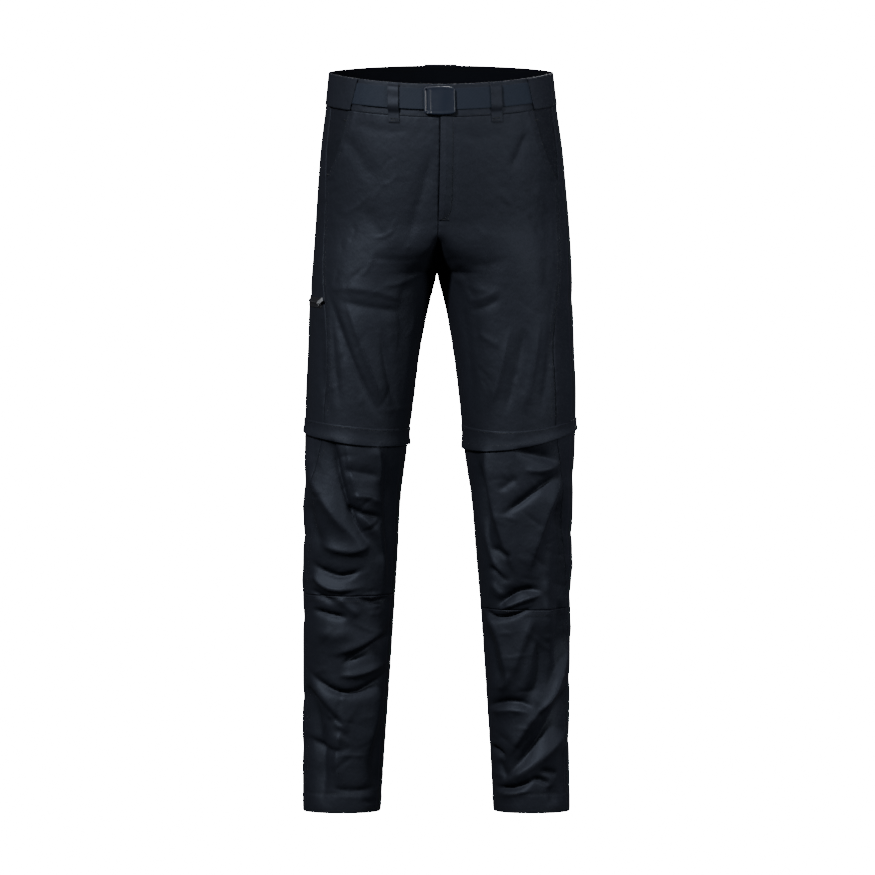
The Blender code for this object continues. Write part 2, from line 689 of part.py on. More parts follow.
def buckle(plastic):
    """A plate with a raised field on the wearer's left and a slot with its bar on the right."""
    frame = local_frame(21.5, 0.0, 0.0)
    shift = Matrix.Translation(Vector((-1.4, -2.4, 0)) * MM)
    frame = frame @ shift
    low = CLOTH / 2 + 2 * SEAM_GAP + WEBBING + 0.15
    mesh = box_mesh("buckle", (BUCKLE_WIDTH, BUCKLE_HEIGHT, BUCKLE_THICKNESS), (0, 0, low + BUCKLE_THICKNESS / 2))
    made = add_object("buckle", mesh, plastic)
    made.matrix_world = frame
    corner = bmesh.new()
    corner.from_mesh(mesh)
    upright = [
        edge for edge in corner.edges
        if abs(edge.verts[0].co.z - edge.verts[1].co.z) > 1e-4
    ]
    bmesh.ops.bevel(corner, geom=upright, offset=4.5 * MM, segments=4, profile=0.5, affect="EDGES")
    corner.to_mesh(mesh)
    corner.free()
    round_edges(made, 1.3, 2)
    slot = cutter("buckle_slot", (7.0, BELT_WIDTH + 2.4, 12), (-BUCKLE_WIDTH / 2 + 8.9, 2.2, low + 2), frame)
    cut_with(made, slot)
    bar = cutter(
        "buckle_bar_top", (9.4, BELT_WIDTH + 2.4, 6),
        (-BUCKLE_WIDTH / 2 + 1.7, 2.2, low + 1.6 + 3), frame,
    )
    cut_with(made, bar)


def zip_slider_and_pull(metal, panel, start):
    """The slider at the zip's front end, and the pull that hinges on the bridge on its back."""
    u = start + 0.005
    here = panel.at(POCKET_ZIP_DROP, u, 0.0)
    forward = Vector((panel.at(POCKET_ZIP_DROP, u - 0.004, 0.0) - here).tolist()).normalized()
    upward = Vector((panel.at(POCKET_ZIP_DROP - 2.0, u, 0.0) - here).tolist())
    outward = forward.cross(upward).normalized()
    frame = Matrix((forward, outward.cross(forward), outward)).transposed().to_4x4()
    frame.translation = Vector(here.tolist()) * MM
    frame = frame @ Matrix.Rotation(math.radians(PULL_RISE), 4, "Z")
    level = CLOTH / 2 + 0.35 + 1.7 + 0.35
    body = add_object("thigh_zip_slider", box_mesh("thigh_zip_slider", (9.0, 7.0, 1.6), (0, 0, level + 0.8)), metal)
    body.matrix_world = frame
    round_edges(body, 0.5, 2)
    bridge = cutter("slider_bridge", (4.4, 2.0, 2.4), (0, 0, level + 2.4), frame)
    join = body.modifiers.new("bridge", "BOOLEAN")
    join.operation = "UNION"
    join.solver = "EXACT"
    join.object = bridge
    eye = cutter("slider_eye", (2.0, 6.0, 1.7), (0.2, 0, level + 2.35), frame)
    cut_with(body, eye)

    pivot = frame @ Matrix.Translation(Vector((0.2, 0, level + 2.35)) * MM)
    pull = add_object("thigh_zip_pull", box_mesh("thigh_zip_pull", (13.5, 5.6, 0.8), (6.25, 0, 0)), metal)
    pull.matrix_world = pivot
    round_edges(pull, 0.3, 2)
    window = cutter("pull_window", (3.2, 3.0, 3), (2.1, 0, 0), pivot)
    cut_with(pull, window)


def clear_scene():
    for obj in list(bpy.data.objects):
        bpy.data.objects.remove(obj, do_unlink=True)


def new_collection(name):
    made = bpy.data.collections.new(name)
    bpy.context.scene.collection.children.link(made)
    return made


clear_scene()
PARTS = new_collection("hiking_trousers")
CUTTERS = new_collection("cutters")
CUTTERS.hide_render = True


def main():
    nylon = material("woven nylon", (0.014, 0.018, 0.026), 0.62)
    facing = material("woven nylon facing", (0.011, 0.014, 0.021), 0.66)
    webbing = material("nylon webbing", (0.020, 0.027, 0.038), 0.70)
    tape = material("zip tape", (0.010, 0.012, 0.017), 0.72)
    plastic = material("acetal buckle", (0.022, 0.025, 0.034), 0.38)
    metal = material("painted zinc zip", (0.16, 0.17, 0.19), 0.35, 0.8)

    left_front, _ = leg_pieces(1, "left", nylon, facing)
    right_front, right_back = leg_pieces(-1, "right", nylon, facing)
    waist_pieces(nylon, webbing, (left_front, right_front))
    fly_placket(nylon, left_front)
    buckle(plastic)
    start = zip_tape(tape, right_back)
    zip_slider_and_pull(metal, right_back, start)


main()
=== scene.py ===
"""Hiking trousers with a webbing belt: cloth, trim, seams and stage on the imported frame.

A point of the cloth is given by its drop below the waist's side edge and by its turn round the body: 0 at
the centre front, 1 at the centre back by way of the wearer's left, -1 there by way of the right. Below the
fork a turn of 0 and one of 1 both lie on the inseam. Lengths in the tables are millimetres.
"""

import math

import bpy
import numpy as np
from mathutils import Matrix, Vector


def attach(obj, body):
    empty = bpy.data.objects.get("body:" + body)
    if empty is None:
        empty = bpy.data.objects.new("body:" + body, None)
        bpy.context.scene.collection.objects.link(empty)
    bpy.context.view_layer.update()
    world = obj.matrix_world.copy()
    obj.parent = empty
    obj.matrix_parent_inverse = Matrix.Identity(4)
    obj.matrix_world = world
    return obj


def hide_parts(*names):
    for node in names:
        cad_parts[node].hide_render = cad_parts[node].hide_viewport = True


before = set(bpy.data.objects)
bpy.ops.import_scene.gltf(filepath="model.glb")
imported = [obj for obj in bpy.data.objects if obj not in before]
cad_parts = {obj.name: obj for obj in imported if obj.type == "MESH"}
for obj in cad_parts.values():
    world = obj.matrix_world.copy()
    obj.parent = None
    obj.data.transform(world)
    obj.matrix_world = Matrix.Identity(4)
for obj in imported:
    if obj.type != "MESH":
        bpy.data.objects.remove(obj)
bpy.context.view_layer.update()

bl_info = {
    "name": "Hiking trousers",
    "version": (1, 0, 0),
    "blender": (4, 5, 0),
    "location": "View3D > Sidebar > Trousers",
    "description": "Builds worn hiking trousers with their belt, seams and stage",
    "category": "Object",
}

MM = 0.001

# The garment's own sizes.
LENGTH = 1052.0
WAISTBAND_HEIGHT = 46.0
WAIST_FRONT_DIP = 12.0
WAIST_BACK_RISE = 5.0
FORK_DROP = 281.0
FRONT_FORK_HEIGHT = 70.0
BACK_FORK_HEIGHT = 150.0
SECTION_FULLNESS = 2.15
FORK_BLEND = 44.0
FORK_RECESS = 17.0
ZIP_OFF_DROP = 510.0
KNEE_SEAM_DROP = {-1: 741.0, 1: 761.0}
HEM_TURN_UP = 28.0
CLOTH = 1.3
SHELL = 0.7
BELT_TOP = 6.5
BELT_WIDTH = 30.0
BELT_MIDDLE = BELT_TOP + BELT_WIDTH / 2
BELT_SIDE_TURN = 0.386
BAND_SIDE_TURN = 0.398
WEBBING = 1.4
FLY_WIDTH = 20.0
FLY_END = 205.0
FLY_CURVE = 22.0
LOOP_WIDTH = 16.0
LOOP_LENGTH = 55.5
BACK_LOOP_WIDTH = 47.0
FLAP_SEWN_HEIGHT = 1.1
BUCKLE_WIDTH = 45.4
BUCKLE_HEIGHT = 39.5
BUCKLE_THICKNESS = 4.6
# The buckle's slot, bar and groove: where each begins and where it ends, across the plate.
BUCKLE_BANDS = (
    ((-20.0, -19.5), (-17.2, -16.7)),
    ((-17.2, -16.7), (-12.6, -12.2)),
    ((-12.8, -12.4), (-11.9, -11.5)),
)
POCKET_ZIP_DROP = 325.0
POCKET_ZIP_END = 0.58
ZIP_TAPE_WIDTH = 14.0
SIDE_FOLD_ROUND = 500.0
FOLD_PARTS = 12
STRIP_STEP = 1.8

# Heights over the cloth's middle layer: what lies on it, the belt's free end and what covers the belt.
ON_CLOTH = CLOTH / 2 + 0.35
OVER_BELT = ON_CLOTH + WEBBING + 0.25
COVER = CLOTH / 2 + 0.6 + WEBBING

# The narrow belt loops: place across, how far the foot leans out, and room over the belt's free end.
FRONT_LOOPS = {"left": (78.2, 0.0, 1.0), "right": (-65.8, 2.8, 2.3)}

# How far each kind of loop has risen at each drop: the narrow one as a share, the wide one in mm.
LOOP_RISE = (
    (1.0, 0), (3.4, 0.1), (5.0, 0.75), (7.0, 1), (21.0, 1.06),
    (36.5, 1), (38.6, 0.72), (42.0, 0.1), (45.5, 0), (56.5, 0),
)
BACK_LOOP_RISE = ((-1.4, 0), (3.0, 0), (6.0, 0.5), (23.0, 0.8), (40.0, 0.6), (43.0, 0.1), (51.0, -0.6))

# Sections of the garment. Right and left are the silhouette's distances from the waist's middle; middle
# is the plane between the legs and apart is how far each leg's inner side stands from it.
SECTION_COLUMNS = ("drop", "right", "left", "middle", "apart", "centre", "front", "back")
SECTIONS = (
    (0, 157.5, 158.5, 0.0, 0.0, 0, 110, 112),
    (57, 163.5, 165.5, -0.5, 0.0, 0, 116, 118),
    (106, 169.5, 172.5, -1.0, 0.0, 2, 119, 126),
    (163, 174.0, 178.0, -2.0, 0.0, 5, 120, 133),
    (234, 178.5, 184.0, -4.0, 0.0, 9, 117, 131),
    (281, 182.0, 186.5, -5.0, 0.0, 12, 113, 113),
    (334, 186.5, 188.0, -5.0, 12.8, 8, 107, 107),
    (390, 188.0, 189.5, -5.6, 23.4, 4, 102, 103),
    (461, 191.0, 192.2, -5.7, 33.3, 0, 96, 98),
    (532, 192.4, 191.0, -7.0, 42.0, -4, 90, 92),
    (604, 193.8, 188.2, -6.4, 51.1, -6, 86, 88),
    (689, 195.2, 186.7, -5.1, 56.9, -3, 80, 88),
    (774, 195.3, 184.2, -4.3, 63.2, 1, 77, 88),
    (859, 195.3, 183.9, -4.2, 68.8, 5, 74, 82),
    (944, 196.2, 182.8, -4.4, 74.6, 8, 71, 75),
    (1052, 195.3, 183.7, -5.0, 81.3, 10, 69, 69),
)

# The seam in front of the side, and the slanted pocket opening: turn at each drop.
SIDE_SEAM = (
    (0, 0.400), (110, 0.390), (180, 0.368), (334, 0.361),
    (510, 0.358), (620, 0.400), (760, 0.440), (1052, 0.440),
)
POCKET_OPENING = (
    (46, 0.286), (71, 0.296), (96, 0.309), (121, 0.327), (138, 0.349), (149, 0.367),
)
POCKET_END = 149.0
FACING_TUCK = 24.0

# Drop of the knee flap's upper and lower edge at the inner side, front, outer side and back.
KNEE_FLAP = {
    -1: {"top": (505, 499, 491, 498), "bottom": (528, 525, 511, 519)},
    1: {"top": (500, 505, 491, 496), "bottom": (534, 530, 507, 519)},
}

# Folds run through three places (across, drop). Across is measured from the middle of the body towards
# the wearer's left. The flanks are the picture's left and right ones of a fold that runs down, or the
# lower and upper ones of a fold that runs to the picture's right. Height is out of the cloth, and point
# sharpens the crest.
FOLD_COLUMNS = (
    "across_1", "drop_1", "across_2", "drop_2", "across_3", "drop_3", "flank_1", "flank_2", "height", "point",
)
THIGH_FOLDS = (
    (-156, 306, -105, 305, -50, 322, 8, 16, 1.9, 0.7),
    (-142, 321, -95, 330, -55, 335, 13, 7, -2.2, 0.6),
    (-154, 320, -128, 398, -90, 478, 11, 7, -4.4, 0.7),
    (-132, 326, -106, 400, -76, 476, 8, 15, 3.2, 0.8),
    (-84, 360, -76, 420, -62, 476, 8, 9, -3.2, 0.6),
    (-154, 350, -150, 410, -142, 468, 6, 8, -2.1, 0.6),
    (-170, 345, -168, 410, -160, 480, 7, 8, -2.0, 0.5),
    (-138, 86, -114, 118, -88, 152, 12, 12, -1.5, 0.2),
    (-110, 190, -94, 212, -78, 240, 12, 12, -1.2, 0.2),
    (-12, 112, -30, 172, -44, 236, 9, 13, -2.7, 0.5),
    (-120, 68, -82, 80, -44, 76, 10, 14, -1.0, 0.2),
    (26, 82, 58, 88, 90, 74, 10, 12, -1.0, 0.2),
    (122, 82, 112, 108, 100, 134, 8, 10, -2.3, 0.5),
    (-14, 252, -48, 264, -98, 256, 9, 7, -1.1, 0.5),
    (8, 250, 46, 268, 96, 262, 7, 9, -1.1, 0.5),
    (-20, 276, -52, 294, -84, 298, 8, 6, 1.6, 0.6),
    (14, 280, 40, 300, 70, 306, 6, 8, 1.0, 0.6),
    (40, 322, 62, 316, 86, 302, 7, 9, 1.2, 0.7),
    (46, 333, 64, 328, 84, 316, 9, 6, -1.9, 0.7),
    (99, 362, 86, 420, 69, 477, 12, 9, 3.2, 0.8),
    (118, 360, 106, 420, 92, 478, 8, 9, -2.9, 0.6),
    (139, 356, 130, 420, 118, 477, 12, 9, 3.0, 0.8),
    (158, 350, 152, 420, 142, 478, 9, 9, -2.3, 0.5),
    (24, 300, 38, 380, 46, 470, 8, 10, -2.1, 0.5),
    (-34, 330, -46, 400, -52, 474, 9, 8, 2.0, 0.6),
    (148, 170, 152, 240, 150, 320, 12, 12, -1.6, 0.2),
    (70, 150, 74, 200, 62, 250, 16, 16, 1.2, 0.1),
    (-70, 150, -72, 200, -66, 250, 16, 16, 1.2, 0.1),
    (8, 62, 9, 130, 6, 204, 5, 8, 1.2, 0.4),
    (20, 60, 20, 130, 17, 192, 4, 6, -1.0, 0.7),
    (-3, 62, -3, 130, -3, 230, 6, 3, -0.8, 0.6),
    (-3, 226, -8, 252, -22, 272, 9, 9, -3.1, 0.4),
    (3, 226, 8, 252, 20, 272, 9, 9, -3.1, 0.4),
    (-40, 284, -56, 330, -58, 400, 10, 16, -2.2, 0.3),
    (34, 284, 46, 330, 52, 400, 16, 10, -2.2, 0.3),
)
LOWER_FOLDS_RIGHT = (
    (-188, 596, -182, 640, -166, 672, 12, 10, -5.5, 0.4),
    (-74, 560, -70, 640, -72, 740, 9, 12, -6.0, 0.3),
    (-72, 780, -76, 800, -96, 822, 12, 14, -5.0, 0.4),
    (-184, 520, -173, 590, -112, 668, 18, 22, 8.5, 0.9),
    (-152, 514, -136, 592, -104, 662, 22, 6, -11.0, 0.9),
    (-134, 518, -120, 596, -98, 650, 5, 18, 4.5, 0.8),
    (-136, 560, -112, 566, -84, 570, 8, 12, -4.5, 0.6),
    (-126, 600, -104, 598, -80, 612, 12, 7, 4.6, 0.8),
    (-132, 612, -112, 622, -82, 630, 10, 6, -7.0, 0.8),
    (-112, 640, -92, 668, -80, 690, 12, 9, -3.0, 0.4),
    (-172, 666, -132, 678, -102, 668, 8, 25, 6.5, 0.9),
    (-180, 695, -148, 712, -113, 704, 8, 8, -8.4, 0.9),
    (-180, 706, -158, 730, -114, 728, 8, 11, 7.1, 0.9),
    (-182, 733, -166, 743, -150, 748, 6, 7, -5.3, 0.8),
    (-114, 744, -95, 750, -76, 744, 7, 6, -7.8, 0.9),
    (-148, 742, -132, 756, -118, 770, 9, 11, 4.0, 0.8),
    (-180, 761, -158, 767, -134, 771, 8, 6, -7.8, 0.9),
    (-176, 792, -150, 798, -125, 790, 14, 14, 4.0, 0.2),
    (-150, 824, -108, 810, -76, 786, 8, 22, 6.2, 0.8),
    (-138, 838, -110, 820, -70, 800, 10, 8, -8.4, 0.7),
    (-142, 855, -112, 852, -78, 838, 7, 12, 5.0, 0.8),
    (-184, 852, -132, 880, -80, 853, 9, 7, -9.3, 0.9),
    (-184, 862, -156, 912, -132, 934, 9, 30, 6.2, 0.8),
    (-90, 868, -92, 910, -104, 975, 24, 9, 5.0, 0.7),
    (-188, 874, -164, 900, -136, 930, 14, 6, -6.0, 0.8),
    (-190, 944, -166, 958, -140, 962, 16, 5, -5.0, 0.8),
    (-190, 876, -172, 950, -168, 1034, 18, 13, -11.0, 0.4),
    (-140, 936, -148, 958, -146, 1010, 8, 14, 5.6, 0.7),
    (-84, 925, -94, 980, -88, 1014, 9, 9, -5.3, 0.5),
    (-150, 1016, -120, 1020, -88, 1014, 5, 7, -3.4, 0.7),
    (-112, 1034, -100, 1037, -90, 1036, 4, 4, -2.2, 0.7),
    (-78, 540, -74, 600, -72, 680, 10, 10, -4.7, 0.3),
    (-92, 524, -86, 552, -84, 580, 16, 7, 4.7, 0.7),
    (-94, 640, -82, 672, -80, 730, 10, 10, 3.1, 0.5),
)
LOWER_FOLDS_LEFT = (
    (168, 600, 172, 680, 166, 770, 20, 12, -9.0, 0.4),
    (176, 772, 172, 830, 150, 880, 14, 9, -6.0, 0.4),
    (58, 560, 62, 620, 74, 690, 10, 8, -5.0, 0.4),
    (68, 786, 76, 830, 84, 866, 10, 9, -5.0, 0.4),
    (134, 790, 140, 850, 120, 890, 14, 18, -8.0, 0.5),
    (64, 526, 75, 610, 106, 706, 9, 24, 8.4, 0.9),
    (52, 540, 60, 600, 70, 648, 9, 10, -5.3, 0.5),
    (106, 532, 132, 540, 162, 548, 8, 14, -6.2, 0.6),
    (120, 560, 142, 562, 166, 556, 8, 10, 4.0, 0.7),
    (92, 622, 128, 596, 164, 570, 9, 8, -8.7, 0.8),
    (84, 590, 96, 580, 108, 572, 8, 8, -3.1, 0.5),
    (170, 580, 147, 640, 125, 704, 26, 10, 8.1, 0.9),
    (176, 600, 160, 650, 150, 700, 12, 12, -5.6, 0.5),
    (60, 640, 76, 690, 98, 724, 8, 8, 5.3, 0.8),
    (70, 700, 84, 710, 97, 722, 8, 7, -6.2, 0.8),
    (74, 672, 88, 680, 100, 686, 7, 7, -4.7, 0.7),
    (72, 722, 82, 734, 92, 742, 8, 8, 3.7, 0.7),
    (84, 753, 110, 735, 140, 733, 8, 10, -10.5, 0.9),
    (86, 761, 112, 749, 142, 738, 6, 6, 5.6, 0.9),
    (68, 761, 86, 772, 128, 758, 6, 5, -8.1, 0.9),
    (150, 716, 152, 750, 148, 800, 14, 14, 3.4, 0.3),
    (66, 768, 84, 806, 98, 874, 9, 18, 6.5, 0.8),
    (132, 770, 116, 816, 103, 856, 16, 9, 5.3, 0.8),
    (136, 800, 126, 840, 118, 884, 10, 14, 3.7, 0.6),
    (172, 752, 171, 790, 166, 842, 9, 9, -8.1, 0.7),
    (183, 792, 166, 868, 138, 908, 8, 7, 9.9, 0.9),
    (138, 908, 122, 932, 98, 970, 26, 8, 6.8, 0.9),
    (182, 872, 152, 926, 98, 996, 9, 16, -12.0, 0.6),
    (184, 930, 142, 974, 92, 1006, 13, 14, 6.2, 0.7),
    (82, 874, 92, 868, 100, 852, 9, 9, 4.0, 0.6),
    (68, 902, 98, 893, 128, 899, 6, 11, -8.7, 0.9),
    (74, 908, 96, 904, 128, 906, 12, 5, 4.3, 0.9),
    (72, 959, 81, 963, 92, 973, 7, 5, -8.7, 0.9),
    (84, 974, 88, 990, 96, 1004, 6, 7, -4.3, 0.6),
    (80, 1016, 106, 1015, 132, 1004, 5, 7, -7.8, 0.9),
    (130, 1004, 142, 1004, 154, 1011, 5, 6, -6.5, 0.9),
    (80, 1024, 104, 1024, 128, 1018, 6, 5, 3.7, 0.9),
    (142, 990, 154, 993, 168, 996, 6, 6, -5.3, 0.8),
    (176, 960, 174, 990, 172, 1030, 10, 8, -5.3, 0.5),
    (150, 1014, 158, 1026, 160, 1040, 8, 10, -3.7, 0.5),
)
BACK_FOLDS = (
    (-154, 322, -108, 334, -56, 336, 12, 8, -5.2, 0.6),
    (-146, 298, -98, 308, -46, 312, 8, 14, 4.0, 0.7),
    (154, 318, 108, 330, 56, 332, 8, 12, -5.2, 0.6),
    (146, 294, 98, 304, 46, 308, 14, 8, 4.0, 0.7),
    (-24, 186, -66, 232, -108, 262, 9, 12, -5.0, 0.6),
    (22, 182, 64, 228, 108, 258, 12, 9, -5.0, 0.6),
    (-14, 232, -40, 268, -88, 288, 9, 9, 3.2, 0.6),
    (12, 230, 38, 264, 86, 284, 9, 9, 3.2, 0.6),
    (-122, 356, -108, 415, -94, 476, 10, 9, -4.5, 0.6),
    (124, 358, 112, 415, 98, 476, 9, 10, -4.5, 0.6),
    (-74, 350, -78, 412, -70, 474, 12, 9, 3.8, 0.7),
    (72, 346, 78, 412, 72, 474, 9, 12, 3.8, 0.7),
    (-172, 560, -132, 590, -92, 582, 9, 12, -6.2, 0.7),
    (170, 556, 130, 588, 88, 578, 12, 9, -6.2, 0.7),
    (-174, 602, -130, 622, -82, 610, 10, 9, 5.5, 0.8),
    (172, 600, 128, 618, 78, 606, 9, 10, 5.5, 0.8),
    (-176, 636, -126, 664, -82, 652, 9, 12, -7.5, 0.7),
    (174, 632, 124, 660, 74, 648, 12, 9, -7.5, 0.7),
    (-172, 682, -128, 686, -84, 668, 9, 10, 5.5, 0.8),
    (168, 680, 124, 684, 76, 664, 10, 9, 5.5, 0.8),
    (-180, 706, -140, 724, -90, 716, 9, 9, -5.8, 0.7),
    (172, 704, 132, 722, 82, 712, 9, 9, -5.8, 0.7),
    (-182, 742, -136, 768, -92, 776, 9, 12, -5.8, 0.7),
    (176, 738, 130, 764, 82, 770, 12, 9, -5.8, 0.7),
    (-178, 800, -150, 836, -98, 850, 9, 14, 4.8, 0.8),
    (172, 796, 140, 832, 92, 846, 14, 9, 4.8, 0.8),
    (-180, 874, -140, 898, -94, 906, 9, 11, -5.8, 0.7),
    (174, 880, 134, 884, 92, 868, 9, 11, -5.8, 0.7),
    (-160, 920, -138, 968, -122, 1016, 12, 10, 4.2, 0.7),
    (158, 918, 138, 966, 124, 1016, 10, 12, 4.2, 0.7),
    (-104, 930, -110, 970, -104, 1012, 9, 9, -3.8, 0.5),
    (100, 928, 106, 970, 102, 1012, 9, 9, -3.8, 0.5),
)
# Folds that go round a leg's outer side: turn within the leg times SIDE_FOLD_ROUND, and drop.
SIDE_FOLDS = {
    -1: (
        (190, 300, 235, 318, 290, 312, 12, 14, -1.5, 0.3),
        (190, 556, 240, 584, 300, 578, 12, 14, -1.8, 0.3),
        (186, 604, 236, 616, 296, 626, 12, 14, 1.5, 0.3),
        (192, 650, 250, 660, 300, 648, 12, 14, -2.0, 0.3),
        (196, 712, 250, 724, 305, 716, 12, 14, 1.4, 0.3),
        (196, 752, 250, 776, 300, 758, 12, 14, -1.8, 0.3),
        (190, 872, 245, 890, 300, 880, 12, 14, -1.7, 0.3),
        (200, 948, 250, 962, 300, 950, 12, 14, -1.4, 0.3),
    ),
    1: (
        (190, 304, 235, 322, 290, 316, 12, 14, -1.5, 0.3),
        (196, 566, 246, 580, 300, 572, 12, 14, -1.8, 0.3),
        (192, 640, 246, 656, 300, 644, 12, 14, -1.9, 0.3),
        (192, 690, 250, 702, 300, 690, 12, 14, 1.4, 0.3),
        (196, 730, 250, 744, 300, 734, 12, 14, -1.6, 0.3),
        (196, 800, 240, 790, 300, 810, 12, 14, 1.4, 0.3),
        (190, 872, 240, 862, 300, 880, 12, 14, -1.7, 0.3),
        (196, 960, 250, 950, 300, 968, 12, 14, -1.4, 0.3),
    ),
}

# How far the cloth stands out at each distance from an edge.
EDGES = {
    "seam": ((0, -1.7), (0.35, -0.9), (0.8, -0.35), (1.5, -0.05), (2.5, 0)),
    "felled": ((0, -1.7), (0.35, -0.5), (0.8, 0.15), (1.5, 0.4), (8, 0.5), (9.5, 0.1), (10.5, 0)),
    "turned": ((0, -0.5), (0.35, 0.4), (0.8, 0.8), (1.5, 1.0), (12, 1.0), (16, 0.3), (20, 0)),
    "tucked": ((0, -1.5), (12, -1.3), (20, -1.0), (26, -0.8)),
    "cut": ((0, -0.4), (0.35, -0.1), (0.8, 0)),
}
NEAR_EDGE = (0.0, 0.35, 0.8, 1.5, 2.8, 4.6)

# Stitch lines of each leg: the piece, the edge, how far from it, and the drops between which it runs.
SEAM_STITCHES = (
    ("thigh_front", "end", 2.6, WAISTBAND_HEIGHT + 1, 148),
    ("thigh_front", "end", 8.2, WAISTBAND_HEIGHT + 1, 146),
    ("thigh_front", "end", 2.2, 153, 492),
    ("thigh_front", "end", 7.6, 153, 492),
    ("thigh_back", "end", 2.2, WAISTBAND_HEIGHT + 2, 492),
    ("thigh_back", "end", 7.6, WAISTBAND_HEIGHT + 2, 276),
    ("thigh_back", "top", 2.4),
    ("knee", "end", 2.2, 536),
    ("knee", "end", 7.6, 536),
    ("shin", "end", 2.2),
    ("shin", "end", 7.6),
    ("shin", "top", 2.2),
    ("shin", "top", 7.6),
    ("lower_back", "end", 2.2, 536),
    ("shin", "bottom", HEM_TURN_UP),
    ("lower_back", "bottom", HEM_TURN_UP),
)

# Lamps: name, place, size and power. The side ones light the cloth without a gloss on its outline.
LAMPS = (
    ("key", (-2.2, -3.1, 2.5), 0.6, 194),
    ("fill from the right", (2.7, -2.5, 0.8), 1.5, 46),
    ("side light on the right", (3.2, 0.9, 0.6), 1.6, 62),
    ("side light on the left", (-3.2, 1.2, 0.6), 1.6, 20),
    ("light behind", (0.6, 3.4, 2.8), 1.2, 110),
)
PAPER_GLOW = 25.0
FLOOR_REACH = 9.0

# The photograph's camera: its distance and height over level, and the picture's width in the garment's
# plane.
CAMERA_DISTANCE = 30.0
CAMERA_ANGLE = math.radians(3.4)
CAMERA_TARGET = (-0.0043, -0.05, -0.517)
PICTURE_WIDTH = 1242.5
SENSOR_WIDTH = 36.0


def smooth_curve(table_x, table_y):
    """A function that follows a smooth curve through the table's rows."""
    xs = np.array(table_x, float)
    ys = np.array(table_y, float)
    slopes = np.gradient(ys, xs)

    def value(x):
        x = np.clip(x, xs[0], xs[-1])
        i = np.clip(np.searchsorted(xs, x, side="right") - 1, 0, len(xs) - 2)
        step = xs[i + 1] - xs[i]
        t = (x - xs[i]) / step
        return (
            ys[i] * (1 + 2 * t) * (1 - t) ** 2
            + ys[i + 1] * t**2 * (3 - 2 * t)
            + slopes[i] * step * t * (1 - t) ** 2
            - slopes[i + 1] * step * t**2 * (1 - t)
        )

    return value


SECTION = {
    name: smooth_curve([row[0] for row in SECTIONS], [row[i] for row in SECTIONS])
    for i, name in enumerate(SECTION_COLUMNS)
}


def ease(low, high, value):
    """0 at low, 1 at high, with a soft start and end."""
    t = np.clip((value - low) / (high - low), 0.0, 1.0)
    return t * t * (3 - 2 * t)


def round_the_leg(corners, u):
    """A value given at the inner side, front, outer side and back, at a turn u within one side."""
    inner, front, outer, back = corners
    middle = (inner + outer) / 2
    lobe = np.where(u < 0.5, front - middle, back - middle)
    return middle + (inner - outer) / 2 * np.cos(2 * np.pi * u) + lobe * np.sin(2 * np.pi * u) ** 2


def flap_edge(side, u, edge):
    """Drop of the knee flap's upper or lower edge."""
    right = round_the_leg(KNEE_FLAP[-1][edge], u)
    left = round_the_leg(KNEE_FLAP[1][edge], u)
    return np.where(side > 0, left, right)


def warp(side, drop, u):
    """How much lower than its nominal drop the cloth lies: the dipped waist and the slanted flap."""
    swing = np.cos(np.pi * u) ** 2
    waist = np.where(u < 0.5, WAIST_FRONT_DIP, -WAIST_BACK_RISE) * swing
    flap = (flap_edge(side, u, "top") + flap_edge(side, u, "bottom")) / 2 - ZIP_OFF_DROP
    near_flap = 1 - ease(24, 110, np.abs(drop - ZIP_OFF_DROP))
    return waist * (1 - ease(50, 175, drop)) + flap * near_flap


def half_surface(side, drop, u):
    """Points of the smooth form at a drop and at a turn u, 0 to 1, within one side."""
    outer = np.where(side > 0, SECTION["left"](drop), SECTION["right"](drop))
    apart = np.where(drop > FORK_DROP, np.maximum(SECTION["apart"](drop), 0.0), 0.0)
    inner = side * SECTION["middle"](drop) + apart
    in_front = u < 0.5
    fork_height = np.where(in_front, FRONT_FORK_HEIGHT, BACK_FORK_HEIGHT)
    above = np.clip((FORK_DROP - drop) / fork_height, 0.0, 1.0)
    cut = (1 - above) ** 1.5
    lift = (1 - cut**SECTION_FULLNESS) ** (1 / SECTION_FULLNESS)
    start = np.arctan2(lift, cut)
    half_width = (outer - inner) / (1 + cut)
    from_side = np.abs(u - 0.5) * 2
    even = np.pi / 2 * (1 - ease(190, 400, drop))
    angle = np.pi - from_side * (np.pi - even) - from_side**3 * (even - start)
    cosine = np.cos(angle)
    sine = np.sin(angle)
    total = np.abs(cosine) ** SECTION_FULLNESS + np.abs(sine) ** SECTION_FULLNESS
    reach = total ** (-1 / SECTION_FULLNESS)
    depth = np.where(in_front, -SECTION["front"](drop), SECTION["back"](drop))
    x = side * (inner + cut * half_width - half_width * cosine * reach)
    y = SECTION["centre"](drop) + depth * sine * reach
    z = -(drop + warp(side, drop, u))
    return np.stack(np.broadcast_arrays(x, y, z), axis=-1)


def split_turn(turn):
    """The side (1 left, -1 right) and the turn within it."""
    side = np.where((turn >= 0) & (turn <= 1), 1.0, -1.0)
    u = np.where(turn < 0, -turn, np.where(turn > 1, 2 - turn, turn))
    return side, u


